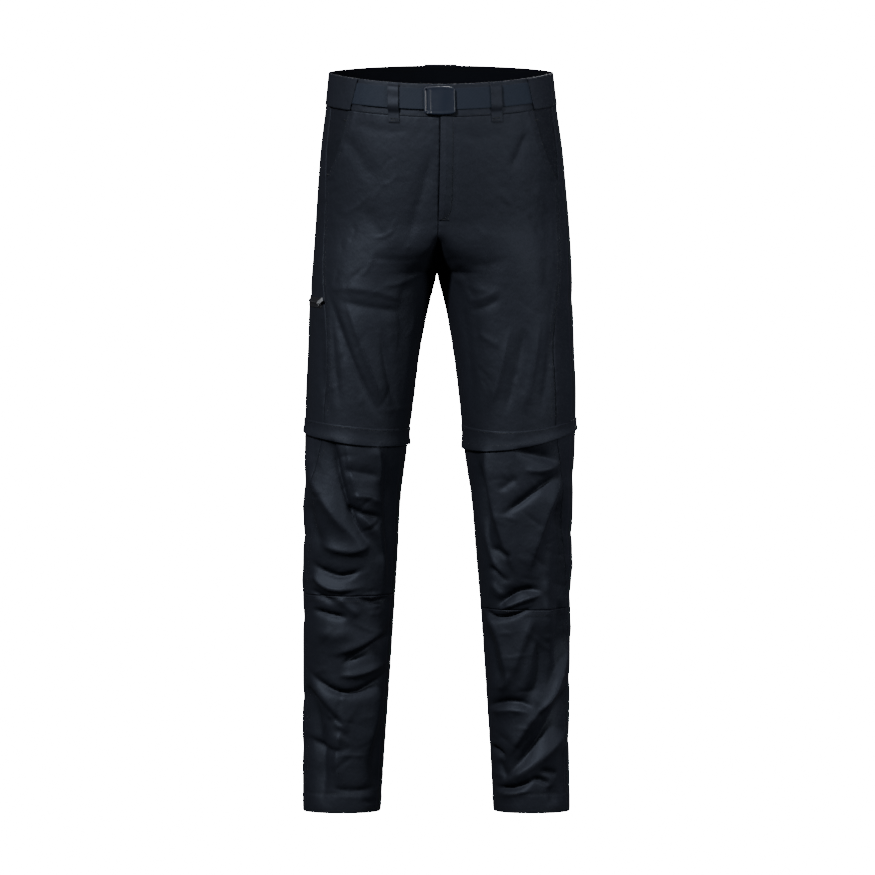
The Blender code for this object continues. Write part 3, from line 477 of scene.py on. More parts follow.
def fold_heights(folds, across, drop):
    """Sum of the folds' heights at places of one face of the garment."""
    total = np.zeros(np.shape(across))
    share = np.linspace(0, 1, FOLD_PARTS + 1)
    for row in folds:
        fold = dict(zip(FOLD_COLUMNS, row))
        course = []
        for name in ("across", "drop"):
            first, second, third = (fold[f"{name}_{i}"] for i in (1, 2, 3))
            bend = 2 * second - (first + third) / 2
            course.append((1 - share) ** 2 * first + 2 * share * (1 - share) * bend + share**2 * third)
        xs, ys = course
        reach = 2.6 * max(fold["flank_1"], fold["flank_2"])
        near = (across > xs.min() - reach) & (across < xs.max() + reach)
        near &= (drop > ys.min() - reach) & (drop < ys.max() + reach)
        px = across[near]
        py = drop[near]
        closest = np.full(px.shape, 1e9)
        offset = np.zeros(px.shape)
        place = np.zeros(px.shape)
        for i in range(FOLD_PARTS):
            run = np.array((xs[i + 1] - xs[i], ys[i + 1] - ys[i]))
            length = math.hypot(*run)
            along = run / length
            dx = px - xs[i]
            dy = py - ys[i]
            # The first and last parts run on past the fold's ends.
            low = -9.0 if i == 0 else 0.0
            high = 9.0 if i == FOLD_PARTS - 1 else 1.0
            inside = np.clip((dx * along[0] + dy * along[1]) / length, low, high)
            distance = np.hypot(dx - inside * run[0], dy - inside * run[1])
            nearer = distance < closest
            closest = np.where(nearer, distance, closest)
            side = np.sign(along[0] * dy - along[1] * dx)
            offset = np.where(nearer, side * distance, offset)
            place = np.where(nearer, (i + inside) / FOLD_PARTS, place)
        width = np.where(offset > 0, fold["flank_1"], fold["flank_2"]) * (0.75 + 0.25 * ease(0.0, 0.3, place))
        ends = ease(-0.1, 0.28, place) * (1 - ease(0.74, 1.1, place))
        crest = 1.2 - 1.1 * fold["point"]
        shape = np.exp(-1.6 * (np.sqrt(2 * (offset / width) ** 2 + crest**2) - crest))
        total[near] += fold["height"] * ends * shape
    return total


def small_creases(seed, count, across_range, drop_range):
    """Rows of short, shallow creases at seeded places, mostly running down and out."""
    made = []
    pick = np.random.default_rng(seed)
    for _ in range(count):
        side = pick.choice((-1, 1))
        x = side * pick.uniform(*across_range)
        y = pick.uniform(*drop_range)
        slope = pick.normal(0.9 if y < ZIP_OFF_DROP else 0.45, 0.35)
        length = pick.uniform(9, 30)
        dx = side * length * math.cos(slope) * 0.8
        dy = length * math.sin(slope)
        bow = pick.uniform(-4, 4)
        width = pick.uniform(3.0, 5.5)
        height = pick.choice((-1, 1)) * pick.uniform(0.4, 1.2)
        ends = (x - dx, y - dy, x + bow, y + bow, x + dx, y + dy)
        made.append((*ends, width, width, height, pick.uniform(0.4, 0.9)))
    return tuple(made)


FRONT_FOLDS = (
    *THIGH_FOLDS, *LOWER_FOLDS_RIGHT, *LOWER_FOLDS_LEFT,
    *small_creases(5, 50, (30, 165), (90, 480)), *small_creases(6, 90, (80, 180), (540, 1010)),
)
HIDDEN_FOLDS = (
    *BACK_FOLDS, *small_creases(7, 40, (30, 165), (120, 480)), *small_creases(8, 70, (80, 180), (540, 1010)),
)


def smooth_form(side, drop, u):
    """The form with the change from one ring to two legs eased in, away from the inner side."""
    form = half_surface(side, drop, u)
    eased = np.zeros_like(form)
    weights = np.exp(-(np.linspace(-1.6, 1.6, 9) ** 2))
    weights /= weights.sum()
    for weight, shift in zip(weights, np.linspace(-FORK_BLEND, FORK_BLEND, 9)):
        eased += weight * half_surface(side, drop + shift, u)
    share = ease(0.05, 0.17, u) * (1 - ease(0.83, 0.95, u)) * (1 - ease(70, 150, np.abs(drop - FORK_DROP)))
    share = share * ease(60, 130, drop)
    form[..., :2] += (eased - form)[..., :2] * share[..., None]
    # The front falls in where the two legs part.
    reach = 4.5 + 13 * ease(232, 284, drop)
    fall = ease(226, 256, drop) * (1 - ease(300, 352, drop)) * (1 - ease(0.12, 0.22, u))
    form[..., 1] += FORK_RECESS * fall * np.exp(-(((form[..., 0] - SECTION["middle"](drop)) / reach) ** 2))
    return form


def cloth_at(side, drop, u, crease_depth=1.0):
    """Points of the cloth's middle layer, folds and all, and the direction out of it at each."""
    side, drop, u = np.broadcast_arrays(np.asarray(side, float), drop, u)
    base = smooth_form(side, drop, u)
    step_u = 0.004
    step_drop = 2.5
    round_it = smooth_form(side, drop, u + step_u) - smooth_form(side, drop, u - step_u)
    down = smooth_form(side, drop + step_drop, u) - smooth_form(side, drop - step_drop, u)
    out = np.cross(down, round_it) * side[..., None]
    at_middle = ((u < 0.004) | (u > 0.996)) & (drop < FORK_DROP - 0.5)
    out[..., 0] = np.where(at_middle, 0.0, out[..., 0])
    out /= np.linalg.norm(out, axis=-1, keepdims=True)
    low = -base[..., 2]
    height = np.where(
        u < 0.5, fold_heights(FRONT_FOLDS, base[..., 0], low), fold_heights(HIDDEN_FOLDS, base[..., 0], low),
    )
    height = height * ease(0.05, 0.4, np.abs(out[..., 1]))
    for wearer_side, folds in SIDE_FOLDS.items():
        round_side = fold_heights(folds, u * SIDE_FOLD_ROUND, drop)
        height = height + np.where(side * wearer_side > 0, round_side, 0.0)
    plain = ease(48, 70, drop) * ease(6, 20, np.abs(drop - ZIP_OFF_DROP)) * (1 - 0.5 * ease(1026, 1052, drop))
    return base + out * (height * plain * crease_depth)[..., None], out


def cloth_grid(drop, turn):
    """The cloth at turns that may lie on both sides."""
    drop, turn = np.broadcast_arrays(np.asarray(drop, float), np.asarray(turn, float))
    side, u = split_turn(turn)
    return cloth_at(side, drop, u)


def speed(side, drop, u):
    """Millimetres of cloth per unit of turn."""
    ahead = half_surface(side, drop, u + 0.002)
    behind = half_surface(side, drop, u - 0.002)
    return np.linalg.norm(ahead - behind, axis=-1) / 0.004


def turn_at(across, drop):
    """The turn of the front's cloth at a distance across from the middle."""
    side = 1 if across >= 0 else -1
    low, high = 0.0, 0.5
    for _ in range(40):
        middle = (low + high) / 2
        if side * half_surface(float(side), drop, middle)[0] < abs(across):
            low = middle
        else:
            high = middle
    return side * (low + high) / 2


def spread(length, step):
    """Shares 0 to 1 of a length, a step apart and closer together beside its ends."""
    end = [length - x for x in reversed(NEAR_EDGE)]
    count = max(1, round((end[0] - NEAR_EDGE[-1]) / step))
    between = np.linspace(NEAR_EDGE[-1], end[0], count + 1)[1:-1]
    return np.array([*NEAR_EDGE, *between, *end]) / length


def distances(points, axis):
    """Length along the grid from its first line to each point."""
    steps = np.linalg.norm(np.diff(points, axis=axis), axis=-1)
    start = np.zeros_like(np.take(steps, [0], axis=axis))
    return np.concatenate([start, np.cumsum(steps, axis=axis)], axis=axis)


def profile(kind, distance):
    """How far the cloth stands out beside an edge of this kind."""
    return np.interp(distance, *zip(*EDGES[kind]))


def pucker(along, distance, seed):
    """Small waves that a seam's stitches draw into the cloth beside it."""
    waves = (
        0.5 * np.sin(along * 2 * np.pi / 11.0 + seed)
        + 0.4 * np.sin(along * 2 * np.pi / 17.3 + 2.1 * seed)
        + 0.5 * np.sin(along * 2 * np.pi / 31.0 + 3.7 * seed)
    )
    return 0.32 * waves * np.exp(-((distance / 6.5) ** 2)) * ease(0.0, 1.2, distance)


def shell_mesh(name, inside, outside, ring=False):
    """A closed shell between two grids of points in millimetres. A ring's last column joins its first."""
    rows, columns = outside.shape[:2]
    index = np.arange(rows * columns).reshape(rows, columns)
    wide = outside
    if ring:
        index = np.concatenate([index, index[:, :1]], axis=1)
        wide = np.concatenate([outside, outside[:, :1]], axis=1)
    u = distances(wide, 1)
    v = distances(wide, 0)
    u = u - u.mean(axis=1, keepdims=True)
    uv = np.stack([u, v], -1) * MM
    count = rows * columns

    def quads(grid):
        corners = [grid[:-1, :-1], grid[:-1, 1:], grid[1:, 1:], grid[1:, :-1]]
        return np.stack(corners, 2).reshape(-1, 4, *grid.shape[2:])

    outer = quads(index)
    outer_uv = quads(uv)
    faces = [outer, outer[:, ::-1] + count]
    face_uv = [outer_uv, outer_uv[:, ::-1]]
    edges = [
        (index[0, :-1], index[0, 1:], uv[0, :-1], uv[0, 1:]),
        (index[-1, 1:], index[-1, :-1], uv[-1, 1:], uv[-1, :-1]),
    ]
    if not ring:
        edges += [
            (index[:-1, -1], index[1:, -1], uv[:-1, -1], uv[1:, -1]),
            (index[1:, 0], index[:-1, 0], uv[1:, 0], uv[:-1, 0]),
        ]
    for first, second, uv_first, uv_second in edges:
        faces.append(np.stack([second, first, first + count, second + count], -1))
        face_uv.append(np.stack([uv_second, uv_first, uv_first, uv_second], 1))
    faces = np.concatenate(faces)
    face_uv = np.concatenate(face_uv)
    points = np.concatenate([outside.reshape(-1, 3), inside.reshape(-1, 3)])
    a, b, c, d = (points[faces[:, i]] for i in range(4))
    volume = (a * (np.cross(b, c) + np.cross(c, d))).sum()
    if volume < 0:
        faces = faces[:, ::-1]
        face_uv = face_uv[:, ::-1]
    return plain_mesh(name, points * MM, faces, face_uv)


def plain_mesh(name, points, quads, quad_uv):
    """A smooth-shaded mesh from points in metres, faces of four corners and a UV for each corner."""
    mesh = bpy.data.meshes.new(name)
    mesh.vertices.add(len(points))
    mesh.vertices.foreach_set("co", np.asarray(points, np.float32).ravel())
    mesh.loops.add(quads.size)
    mesh.loops.foreach_set("vertex_index", np.ascontiguousarray(quads, np.int32).ravel())
    mesh.polygons.add(len(quads))
    mesh.polygons.foreach_set("loop_start", np.arange(0, quads.size, 4, dtype=np.int32))
    mesh.polygons.foreach_set("use_smooth", np.ones(len(quads), bool))
    layer = mesh.uv_layers.new(name="cloth")
    layer.data.foreach_set("uv", np.ascontiguousarray(quad_uv, np.float32).ravel())
    mesh.update(calc_edges=True)
    mesh.validate()
    return mesh


def add_piece(name, mesh, look, nodes):
    """An object that rides on the garment, stands for CAD nodes and takes the finish it is given."""
    mesh.materials.append(look)
    made = bpy.data.objects.new(name, mesh)
    bpy.context.scene.collection.objects.link(made)
    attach(made, "garment")
    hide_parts(*nodes)
    return made


def declare(base, ring=False):
    """Works out the sheet's flat cut and area, measured along the smooth form that it was sewn to fit, and
    keeps neither.
    """
    if ring:
        base = np.concatenate([base, base[:, :1]], axis=1)
    across = distances(base, 1)[:, -1]
    down = distances(base, 0)[-1]
    top = base[:-1, 1:] - base[:-1, :-1]
    left = base[1:, :-1] - base[:-1, :-1]
    bottom = base[1:, 1:] - base[1:, :-1]
    right = base[1:, 1:] - base[:-1, 1:]
    area = sum(np.linalg.norm(np.cross(a, b), axis=-1).sum() / 2 for a, b in ((top, left), (bottom, right)))
    flat = (float(across.max()) * MM, float(down.max()) * MM)
    area = float(min(area * MM**2, flat[0] * flat[1]))


def side_seam(rows):
    """Turn of the seam in front of the side."""
    return np.interp(rows, *zip(*SIDE_SEAM))


def pocket_opening(rows):
    """Turn of the slanted pocket's edge."""
    return np.interp(rows, *zip(*POCKET_OPENING))


class Panel:
    """A piece of the garment's own cloth as a fine grid of rows down and columns round."""

    def __init__(self, side, drop_1, drop_2, edge_1, edge_2, step, crease_depth):
        self.side = side
        self.rows = drop_1 + (drop_2 - drop_1) * spread(drop_2 - drop_1, step)
        start = edge_1(self.rows)[:, None]
        end = edge_2(self.rows)[:, None]
        width = float(np.mean((end - start)[:, 0] * speed(side, self.rows, (start + end)[:, 0] / 2)))
        self.u = start + (end - start) * spread(width, step)
        self.drop = np.repeat(self.rows[:, None], self.u.shape[1], axis=1)
        self.base = half_surface(float(side), self.drop, self.u)
        self.points, self.out = cloth_at(side, self.drop, self.u, crease_depth)
        across = distances(self.base, 1)
        down = distances(self.base, 0)
        self.start = across
        self.end = across[:, -1:] - across
        self.top = down
        self.bottom = down[-1:] - down

    def edge(self, name, kind, seed):
        """Heights beside one edge: its profile and the waves that its stitches draw."""
        distance = getattr(self, name)
        along = self.top if name in ("start", "end") else self.start
        height = profile(kind, distance) + pucker(along, distance, seed)
        inner = self.u < 0.2 if name == "start" else self.u > 0.8
        at_fork = ease(222, 250, self.drop) * (1 - ease(300, 325, self.drop)) * inner
        return height * (1 - at_fork)

    def mesh(self, name, raised, thickness=SHELL):
        """The closed shell, with its outer face raised by some height and held to its own leg's side."""
        thickness = np.broadcast_to(np.asarray(thickness, float), self.drop.shape)[..., None]
        raised = np.broadcast_to(raised, self.drop.shape)[..., None]
        self.outer = self.points + self.out * (CLOTH / 2 + raised)
        inside = self.outer - self.out * thickness
        middle = self.side * SECTION["middle"](self.drop)
        for grid in (self.outer, inside):
            near = self.side * grid[..., 0]
            near = np.where(self.drop < FORK_DROP + 4, np.maximum(near, middle), near)
            grid[..., 0] = self.side * near
        return shell_mesh(name, inside, self.outer)

    def line(self, edge, distance, drop_1=0.0, drop_2=math.inf):
        """The outer face's points and directions along a line beside one edge, for its stitches."""
        apart = getattr(self, edge)
        if edge in ("start", "end"):
            rows = [i for i, drop in enumerate(self.rows) if drop_1 <= drop <= drop_2]
            return self.pick(rows, [crossing(apart[row], distance) for row in rows])
        columns = range(self.drop.shape[1])
        return self.pick([crossing(apart[:, column], distance) for column in columns], columns)

    def pick(self, rows, columns):
        """The outer face's points and directions at places counted in rows and columns."""
        rows = np.asarray(rows, float)
        columns = np.asarray(columns, float)
        i = np.clip(rows.astype(int), 0, self.outer.shape[0] - 2)
        j = np.clip(columns.astype(int), 0, self.outer.shape[1] - 2)
        s = (rows - i)[:, None]
        t = (columns - j)[:, None]

        def between(grid):
            upper = grid[i, j] * (1 - t) + grid[i, j + 1] * t
            lower = grid[i + 1, j] * (1 - t) + grid[i + 1, j + 1] * t
            return upper * (1 - s) + lower * s

        return between(self.outer), between(self.out)


def crossing(distance, wanted):
    """Where along a row or column of distances the wanted one is reached, counted in grid lines."""
    count = np.arange(len(distance))
    if distance[0] > distance[-1]:
        return float(np.interp(wanted, distance[::-1], count[::-1]))
    return float(np.interp(wanted, distance, count))


# The legs' panels by piece and side, for their stitching.
PANELS = {}


def srgb(code):
    """An sRGB hex colour as linear red, green and blue."""
    parts = [int(code[i : i + 2], 16) / 255 for i in (1, 3, 5)]
    return tuple(c / 12.92 if c <= 0.04045 else ((c + 0.055) / 1.055) ** 2.4 for c in parts)


def add_node(tree, kind, choices=(), links=()):
    """A node with its choices and inputs; a link's value is another node's output."""
    made = tree.nodes.new(kind)
    for name, value in dict(choices).items():
        setattr(made, name, value)
    for key, value in dict(links).items():
        if isinstance(value, bpy.types.NodeSocket):
            tree.links.new(value, made.inputs[key])
        else:
            made.inputs[key].default_value = value
    return made


def new_material(name, roughness):
    """A material with its node tree and its shader."""
    made = bpy.data.materials.new(name)
    made.use_nodes = True
    shader = made.node_tree.nodes["Principled BSDF"]
    shader.inputs["Roughness"].default_value = roughness
    return made, made.node_tree, shader


def finish(name, roughness):
    """Turns a function that fills in a shader's nodes into one that gives its material, made once."""

    def wrap(fill):
        def give():
            if name not in bpy.data.materials:
                _, tree, shader = new_material(name, roughness)
                fill(tree, shader)
            return bpy.data.materials[name]

        return give

    return wrap


def noise(tree, scale, detail, roughness=0.5):
    """Cloudy noise through the object, its scale in clouds a metre."""
    place = add_node(tree, "ShaderNodeTexCoord")
    links = {"Vector": place.outputs["Object"], "Scale": scale, "Detail": detail, "Roughness": roughness}
    return add_node(tree, "ShaderNodeTexNoise", {}, links).outputs["Fac"]


def threads(tree, direction, spacing, distortion, detail=2.0):
    """Parallel threads on the piece's own UV, their spacing in metres."""
    place = add_node(tree, "ShaderNodeTexCoord")
    return add_node(
        tree, "ShaderNodeTexWave", {"wave_type": "BANDS", "bands_direction": direction},
        {
            "Vector": place.outputs["UV"],
            "Scale": 2 * math.pi / 20 / spacing,
            "Distortion": distortion,
            "Detail": detail,
        },
    ).outputs["Fac"]


def shade(tree, shader, tone, base, dark, light):
    """The base colour times dark or light, as the tone says."""
    colours = [(*(c * share for c in base), 1) for share in (dark, light)]
    mixed = add_node(tree, "ShaderNodeMix", {"data_type": "RGBA"}, {0: tone, 6: colours[0], 7: colours[1]})
    tree.links.new(mixed.outputs[2], shader.inputs["Base Color"])


def relief(tree, shader, *layers):
    """Layers of small relief, each a height and its depth in metres."""
    normal = {}
    for height, depth in layers:
        bump = add_node(tree, "ShaderNodeBump", {}, {"Height": height, "Distance": depth, **normal})
        normal = {"Normal": bump.outputs[0]}
    tree.links.new(bump.outputs[0], shader.inputs["Normal"])


def weave(tree, shader, share, gloss):
    """Plain weave: two crossed sets of threads, fuzz and a little slack, in a share of the shell's colour; a
    share below 1 is painted shade.
    """
    base = tuple(c * share for c in settings().shell_colour)
    shade(tree, shader, noise(tree, 14.0, 4.0, 0.6), base, 0.85, 1.25)
    shader.inputs["Specular IOR Level"].default_value = gloss
    shader.inputs["Specular Tint"].default_value = (0.7, 0.8, 1.0, 1)
    # The real threads are 0.2 mm apart, too fine for the picture, so the pattern is as coarse as 0.9 mm.
    crossed = [threads(tree, direction, 0.0009, 0.6, 1.0) for direction in ("X", "Y")]
    both = add_node(tree, "ShaderNodeMath", {"operation": "MULTIPLY"}, {0: crossed[0], 1: crossed[1]})
    fuzz = noise(tree, 420.0, 3.0, 0.55)
    slack = noise(tree, 55.0, 3.0)
    relief(tree, shader, (both.outputs[0], 0.00005), (fuzz, 0.00005), (slack, 0.0012))


@finish("woven nylon", 0.6)
def shell_nylon(tree, shader):
    """Plain-woven nylon: dark dyed thread whose smooth filaments give a wide, soft sheen on each fold."""
    weave(tree, shader, 1.0, 0.4)


@finish("woven nylon pocket cloth", 0.55)
def pocket_nylon(tree, shader):
    """The same nylon behind the pocket's opening, its colour a little darker as painted shade in the opening.
    """
    weave(tree, shader, 0.8, 0.4)


@finish("woven nylon lining", 0.9)
def lining_nylon_painted_shade(tree, shader):
    """The waistband's lining, unpressed and dull, its colour darkened to 0.3 of the shell's as painted shade
    inside the waist.
    """
    weave(tree, shader, 0.3, 0.08)


@finish("nylon webbing", 0.66)
def webbing(tree, shader):
    """Nylon webbing: thick ribbed yarn with a soft gloss on each rib, its colour painted darker in the
    grooves and lighter on the ribs' tops as shade and light.
    """
    # The real ribs are 1 mm apart; 1.5 mm still shows in the picture.
    ribs = threads(tree, "Y", 0.0015, 0.3)
    picks = threads(tree, "DIAGONAL", 0.0024, 0.4)
    height = add_node(tree, "ShaderNodeMath", {"operation": "MULTIPLY_ADD"}, {0: picks, 1: 0.6, 2: ribs})
    # Painted shade and light: the colour follows the ribs' height, darker in the grooves and lighter on top.
    shade(tree, shader, height.outputs[0], settings().belt_colour, 0.85, 1.1)
    shader.inputs["Specular IOR Level"].default_value = 0.2
    relief(tree, shader, (height.outputs[0], 0.00012))


@finish("acetal buckle plastic", 0.34)
def acetal(tree, shader):
    """Moulded acetal: smooth, slightly satin plastic that lights up along its rounded edges."""
    shader.inputs["Base Color"].default_value = (*settings().buckle_colour, 1)
    rough = add_node(
        tree, "ShaderNodeMapRange", {}, {"Value": noise(tree, 90.0, 3.0), "To Min": 0.27, "To Max": 0.42},
    )
    tree.links.new(rough.outputs[0], shader.inputs["Roughness"])
    relief(tree, shader, (noise(tree, 900.0, 2.0), 0.00006))


@finish("knitted zip tape", 0.72)
def zip_tape(tree, shader):
    """Zip tape: close knitted polyester, darker and duller than the shell."""
    shader.inputs["Base Color"].default_value = (*(c * 0.6 for c in settings().shell_colour), 1)
    # The knit is 0.5 mm; 1 mm still shows close by.
    relief(tree, shader, (threads(tree, "DIAGONAL", 0.001, 0.5), 0.0002))


@finish("lacquered zinc", 0.8)
def lacquered_zinc(tree, shader):
    """Die-cast zinc under thin lacquer: a small bright fleck on the dark leg, duller where it is worn."""
    shader.inputs["Metallic"].default_value = 1.0
    colours = {6: (*srgb("#8d9096"), 1), 7: (*srgb("#d9dbdf"), 1)}
    tone = add_node(tree, "ShaderNodeMix", {"data_type": "RGBA"}, {0: noise(tree, 500.0, 4.0), **colours})
    tree.links.new(tone.outputs[2], shader.inputs["Base Color"])


@finish("sewing thread", 0.45)
def sewing_thread(tree, shader):
    """Polyester sewing thread: twisted, with a small sharp gloss on each stitch."""
    shade(tree, shader, noise(tree, 260.0, 2.0), settings().thread_colour, 0.6, 1.4)


def settings():
    """The scene's own settings for the trousers."""
    return bpy.context.scene.hiking_trousers


def inseam_front(rows):
    """The inseam as a front panel's inner edge."""
    return np.zeros_like(rows)


def inseam_back(rows):
    """The inseam, or the centre back above the fork, as a back panel's inner edge."""
    return np.ones_like(rows)


def front_edge(rows):
    """A front panel's outer edge: the pocket's opening, then the side seam."""
    seam = side_seam(rows)
    return np.where(rows < POCKET_END + 1, np.minimum(pocket_opening(rows), seam), seam)


def leg_pieces(side, name):
    """The cloth pieces of one leg, from the waistband to the hem."""
    choice = settings()
    fine = choice.front_grid * 1000
    coarse = choice.back_grid * 1000
    knee = KNEE_SEAM_DROP[side]

    def facing_edge(rows):
        return pocket_opening(rows) - FACING_TUCK / speed(side, rows, pocket_opening(rows))

    # For each piece: its node and what it hangs from, its drops, edges and grid, and its seams, each of
    # them an edge, a kind and a seed for its waves.
    pieces = {
        "thigh_front": (
            "front_thigh", f"waistband_front_{name}",
            WAISTBAND_HEIGHT, ZIP_OFF_DROP, inseam_front, front_edge, fine,
            (("start", "seam", 1.3), ("top", "seam", 2.2)),
        ),
        "thigh_back": (
            "back_thigh", "waistband_back",
            WAISTBAND_HEIGHT, ZIP_OFF_DROP, side_seam, inseam_back, coarse,
            (("start", "seam", 1.9), ("end", "felled", 0.4), ("top", "seam", 1.1)),
        ),
        "pocket": (
            "pocket_facing", f"waistband_front_{name}",
            WAISTBAND_HEIGHT, POCKET_END + 5, facing_edge, side_seam, fine,
            (("start", "tucked", 0.9), ("end", "seam", 2.7)),
        ),
        "knee": (
            "front_knee", f"knee_flap_{name}",
            ZIP_OFF_DROP, knee, inseam_front, front_edge, fine,
            (("start", "seam", 0.3), ("end", "felled", 1.7), ("bottom", "seam", 2.9)),
        ),
        "shin": (
            "shin", f"front_knee_{name}",
            knee, LENGTH, inseam_front, front_edge, fine,
            (("start", "seam", 0.8), ("end", "felled", 2.3), ("top", "felled", 1.2)),
        ),
        "lower_back": (
            "lower_back", f"back_thigh_{name}",
            ZIP_OFF_DROP, LENGTH, side_seam, inseam_back, coarse,
            (("start", "seam", 2.0), ("end", "felled", 0.6)),
        ),
    }
    for piece, (node, rests_on, drop_1, drop_2, edge_1, edge_2, step, seams) in pieces.items():
        panel = Panel(side, drop_1, drop_2, edge_1, edge_2, step, choice.crease_depth)
        raised = sum(panel.edge(*seam) for seam in seams)
        if piece == "thigh_front":
            below_pocket = ease(146, 153, panel.drop)
            raised += panel.edge("end", "felled", 3.1) * below_pocket
            raised += panel.edge("end", "turned", 0.7) * (1 - below_pocket)
        thickness = SHELL
        if drop_2 == LENGTH:
            raised += hem_line(panel)
            thickness = hem_thickness(panel)
        # The pocket cloth takes the nylon darkened as painted shade behind the opening.
        look, slot = (pocket_nylon, "pocket_nylon") if piece == "pocket" else (shell_nylon, "shell_nylon")
        full_name = f"{piece}_cloth_{name}"
        mesh = panel.mesh(full_name, raised, thickness)
        made = add_piece(full_name, mesh, look(), [f"{node}_{name}"])
        declare(panel.base)
        PANELS[piece, side] = panel


def hem_line(panel):
    """The hem's stitch line drawn in, with the turned-up end slightly puffed below it."""
    from_line = panel.bottom - HEM_TURN_UP
    line = -0.55 * np.exp(-((from_line / 1.4) ** 2))
    puff = 0.35 * ease(-28, -22, from_line) * (1 - ease(-4, -1, from_line))
    return line + puff + pucker(panel.start, np.abs(from_line), 0.5) + profile("cut", panel.bottom)


def hem_thickness(panel):
    """The shell's thickness, with the turned-up cloth inside the hem."""
    return SHELL + 1.0 * (1 - ease(HEM_TURN_UP - 1, HEM_TURN_UP + 1, panel.bottom))


def flap_wave(turns, share):
    """How much farther than its sewn edge the flap stands out, in slow waves."""
    wave = np.sin(turns * 2 * np.pi * 3 + 0.8) + 0.7 * np.sin(turns * 2 * np.pi * 7 + 2.0)
    return (settings().flap_stand_off * 1000 - FLAP_SEWN_HEIGHT + 0.55 * wave) * ease(0.3, 1.0, share)


def knee_flap(side, name):
    """The ring over the zip-off join: sewn along its top, standing off along its bottom."""
    choice = settings()
    turns = np.linspace(0, 1, 181)[:-1]
    height = flap_edge(side, turns, "bottom") - flap_edge(side, turns, "top")
    mean_height = float(height.mean())
    share = spread(mean_height, choice.front_grid * 1000)[:, None]
    drop = ZIP_OFF_DROP + height * (share - 0.5)
    points, out = cloth_at(side, drop, turns, choice.crease_depth)
    base = half_surface(float(side), drop, np.broadcast_to(turns, drop.shape))
    from_top = share * mean_height
    around = distances(np.concatenate([base, base[:, :1]], axis=1), 1)[:, :-1]
    sewn = np.interp(from_top, (0, 0.35, 0.8, 1.5), (-0.6, 0.5, 0.9, FLAP_SEWN_HEIGHT))
    level = sewn + flap_wave(turns, share) + pucker(around, from_top, 1.4)
    hem = 0.35 * ease(mean_height - 7.5, mean_height - 6.5, from_top)
    level = level + hem - profile_end(mean_height - from_top)
    outside = points + out * (CLOTH / 2 + level + 0.4)[..., None]
    inside = outside - out * 1.3
    full_name = f"knee_flap_cloth_{name}"
    mesh = shell_mesh(full_name, inside, outside, ring=True)
    made = add_piece(full_name, mesh, shell_nylon(), [f"knee_flap_{name}"])
    declare(base, ring=True)


def profile_end(distance):
    """How far a folded edge rounds in."""
    return np.interp(distance, (0, 0.35, 0.8), (0.5, 0.12, 0))


def rounded(distance, radius, depth):
    """How far a face draws in beside an edge rounded to a radius."""
    share = np.clip(distance / radius, 0, 1)
    return depth * (1 - np.sqrt(share * (2 - share)))


def waist_strip(turn_1, turn_2, drop_1, drop_2, level, thickness, step, rounding=0.5, slant=(0.0, 0.0)):
    """Grids of a strip on the waist: inner points, outer points and the smooth form under them.

    Slant moves each end's foot round the body."""
    side, u = split_turn(np.array((turn_1 + turn_2) / 2))
    length = abs(turn_2 - turn_1) * float(speed(float(side), 20.0, float(u)))
    share = spread(length, step)
    down = spread(drop_2 - drop_1, step)[:, None]
    turns = turn_1 + slant[0] * down + (turn_2 - turn_1 + (slant[1] - slant[0]) * down) * share
    drops = drop_1 + (drop_2 - drop_1) * down
    points, out = cloth_grid(drops, turns)
    round_off = rounded(np.minimum(drops - drop_1, drop_2 - drops), 1.2, rounding)
    low = (level + round_off + 0 * turns)[..., None]
    high = (level + thickness - round_off + 0 * turns)[..., None]
    return points + out * low, points + out * high, points


def add_strip(name, grids, look, node):
    """A piece from its grids."""
    inside, outside, base = grids
    made = add_piece(name, shell_mesh(name, inside, outside), look, [node])
    declare(base)
    return made


def belt_loop(across, lean, room):
    """A narrow loop's grids: sewn down above and below the belt and raised over it."""
    heights = smooth_curve(*zip(*LOOP_RISE))
    drops = (1.0 + LOOP_LENGTH * spread(LOOP_LENGTH, 1.6))[:, None]
    from_middle = (spread(LOOP_WIDTH, 1.6)[None, :] - 0.5) * LOOP_WIDTH
    centre = loop_centre(across, lean, drops)
    lift = ON_CLOTH + (OVER_BELT + room - ON_CLOTH) * heights(drops)
    middle = turn_at(across, 25.0)
    turns = middle + (centre - across + from_middle) / float(speed(np.sign(across), 25.0, abs(middle)))
    points, out = cloth_grid(drops, turns)
    from_side = LOOP_WIDTH / 2 - np.abs(from_middle)
    sewn = -0.25 * np.exp(-(((from_side - 2.2) / 0.7) ** 2))
    round_off = rounded(from_side, 1.0, 0.55)
    inside = points + out * (lift + round_off)[..., None]
    outside = points + out * (lift + 1.5 - round_off + sewn)[..., None]
    return inside, outside, points


def loop_centre(across, lean, drop):
    """How far across a leaning loop's middle is at a drop."""
    return across - lean * (0.5 - drop / (LOOP_LENGTH + 1))


def back_loop():
    """The wide loop at the centre back, from just over the waistband's edge to just under it."""
    reach = BACK_LOOP_WIDTH / 2 / float(speed(1.0, 20.0, 0.98))
    turns = 1 + reach * (2 * spread(BACK_LOOP_WIDTH, 2.2) - 1)
    drops = (-1.4 + 52.4 * spread(52.4, 2.2))[:, None]
    heights = smooth_curve(*zip(*BACK_LOOP_RISE))
    lift = (CLOTH / 2 + 1.8 + heights(drops) + 0 * turns)[..., None]
    points, out = cloth_grid(np.maximum(drops, 0.0), turns)
    points[..., 2] += np.maximum(-drops, 0.0)
    return points + out * lift, points + out * (lift + 1.2), points


def fly_width(drops):
    """The fly strip's width down to its end, and how far into the end's curve each drop is."""
    below = np.maximum(0.0, drops - (FLY_END - FLY_CURVE)) / FLY_CURVE
    return FLY_WIDTH * (0.1 + 0.9 * np.sqrt(np.maximum(0.0, 1 - below**2))), below


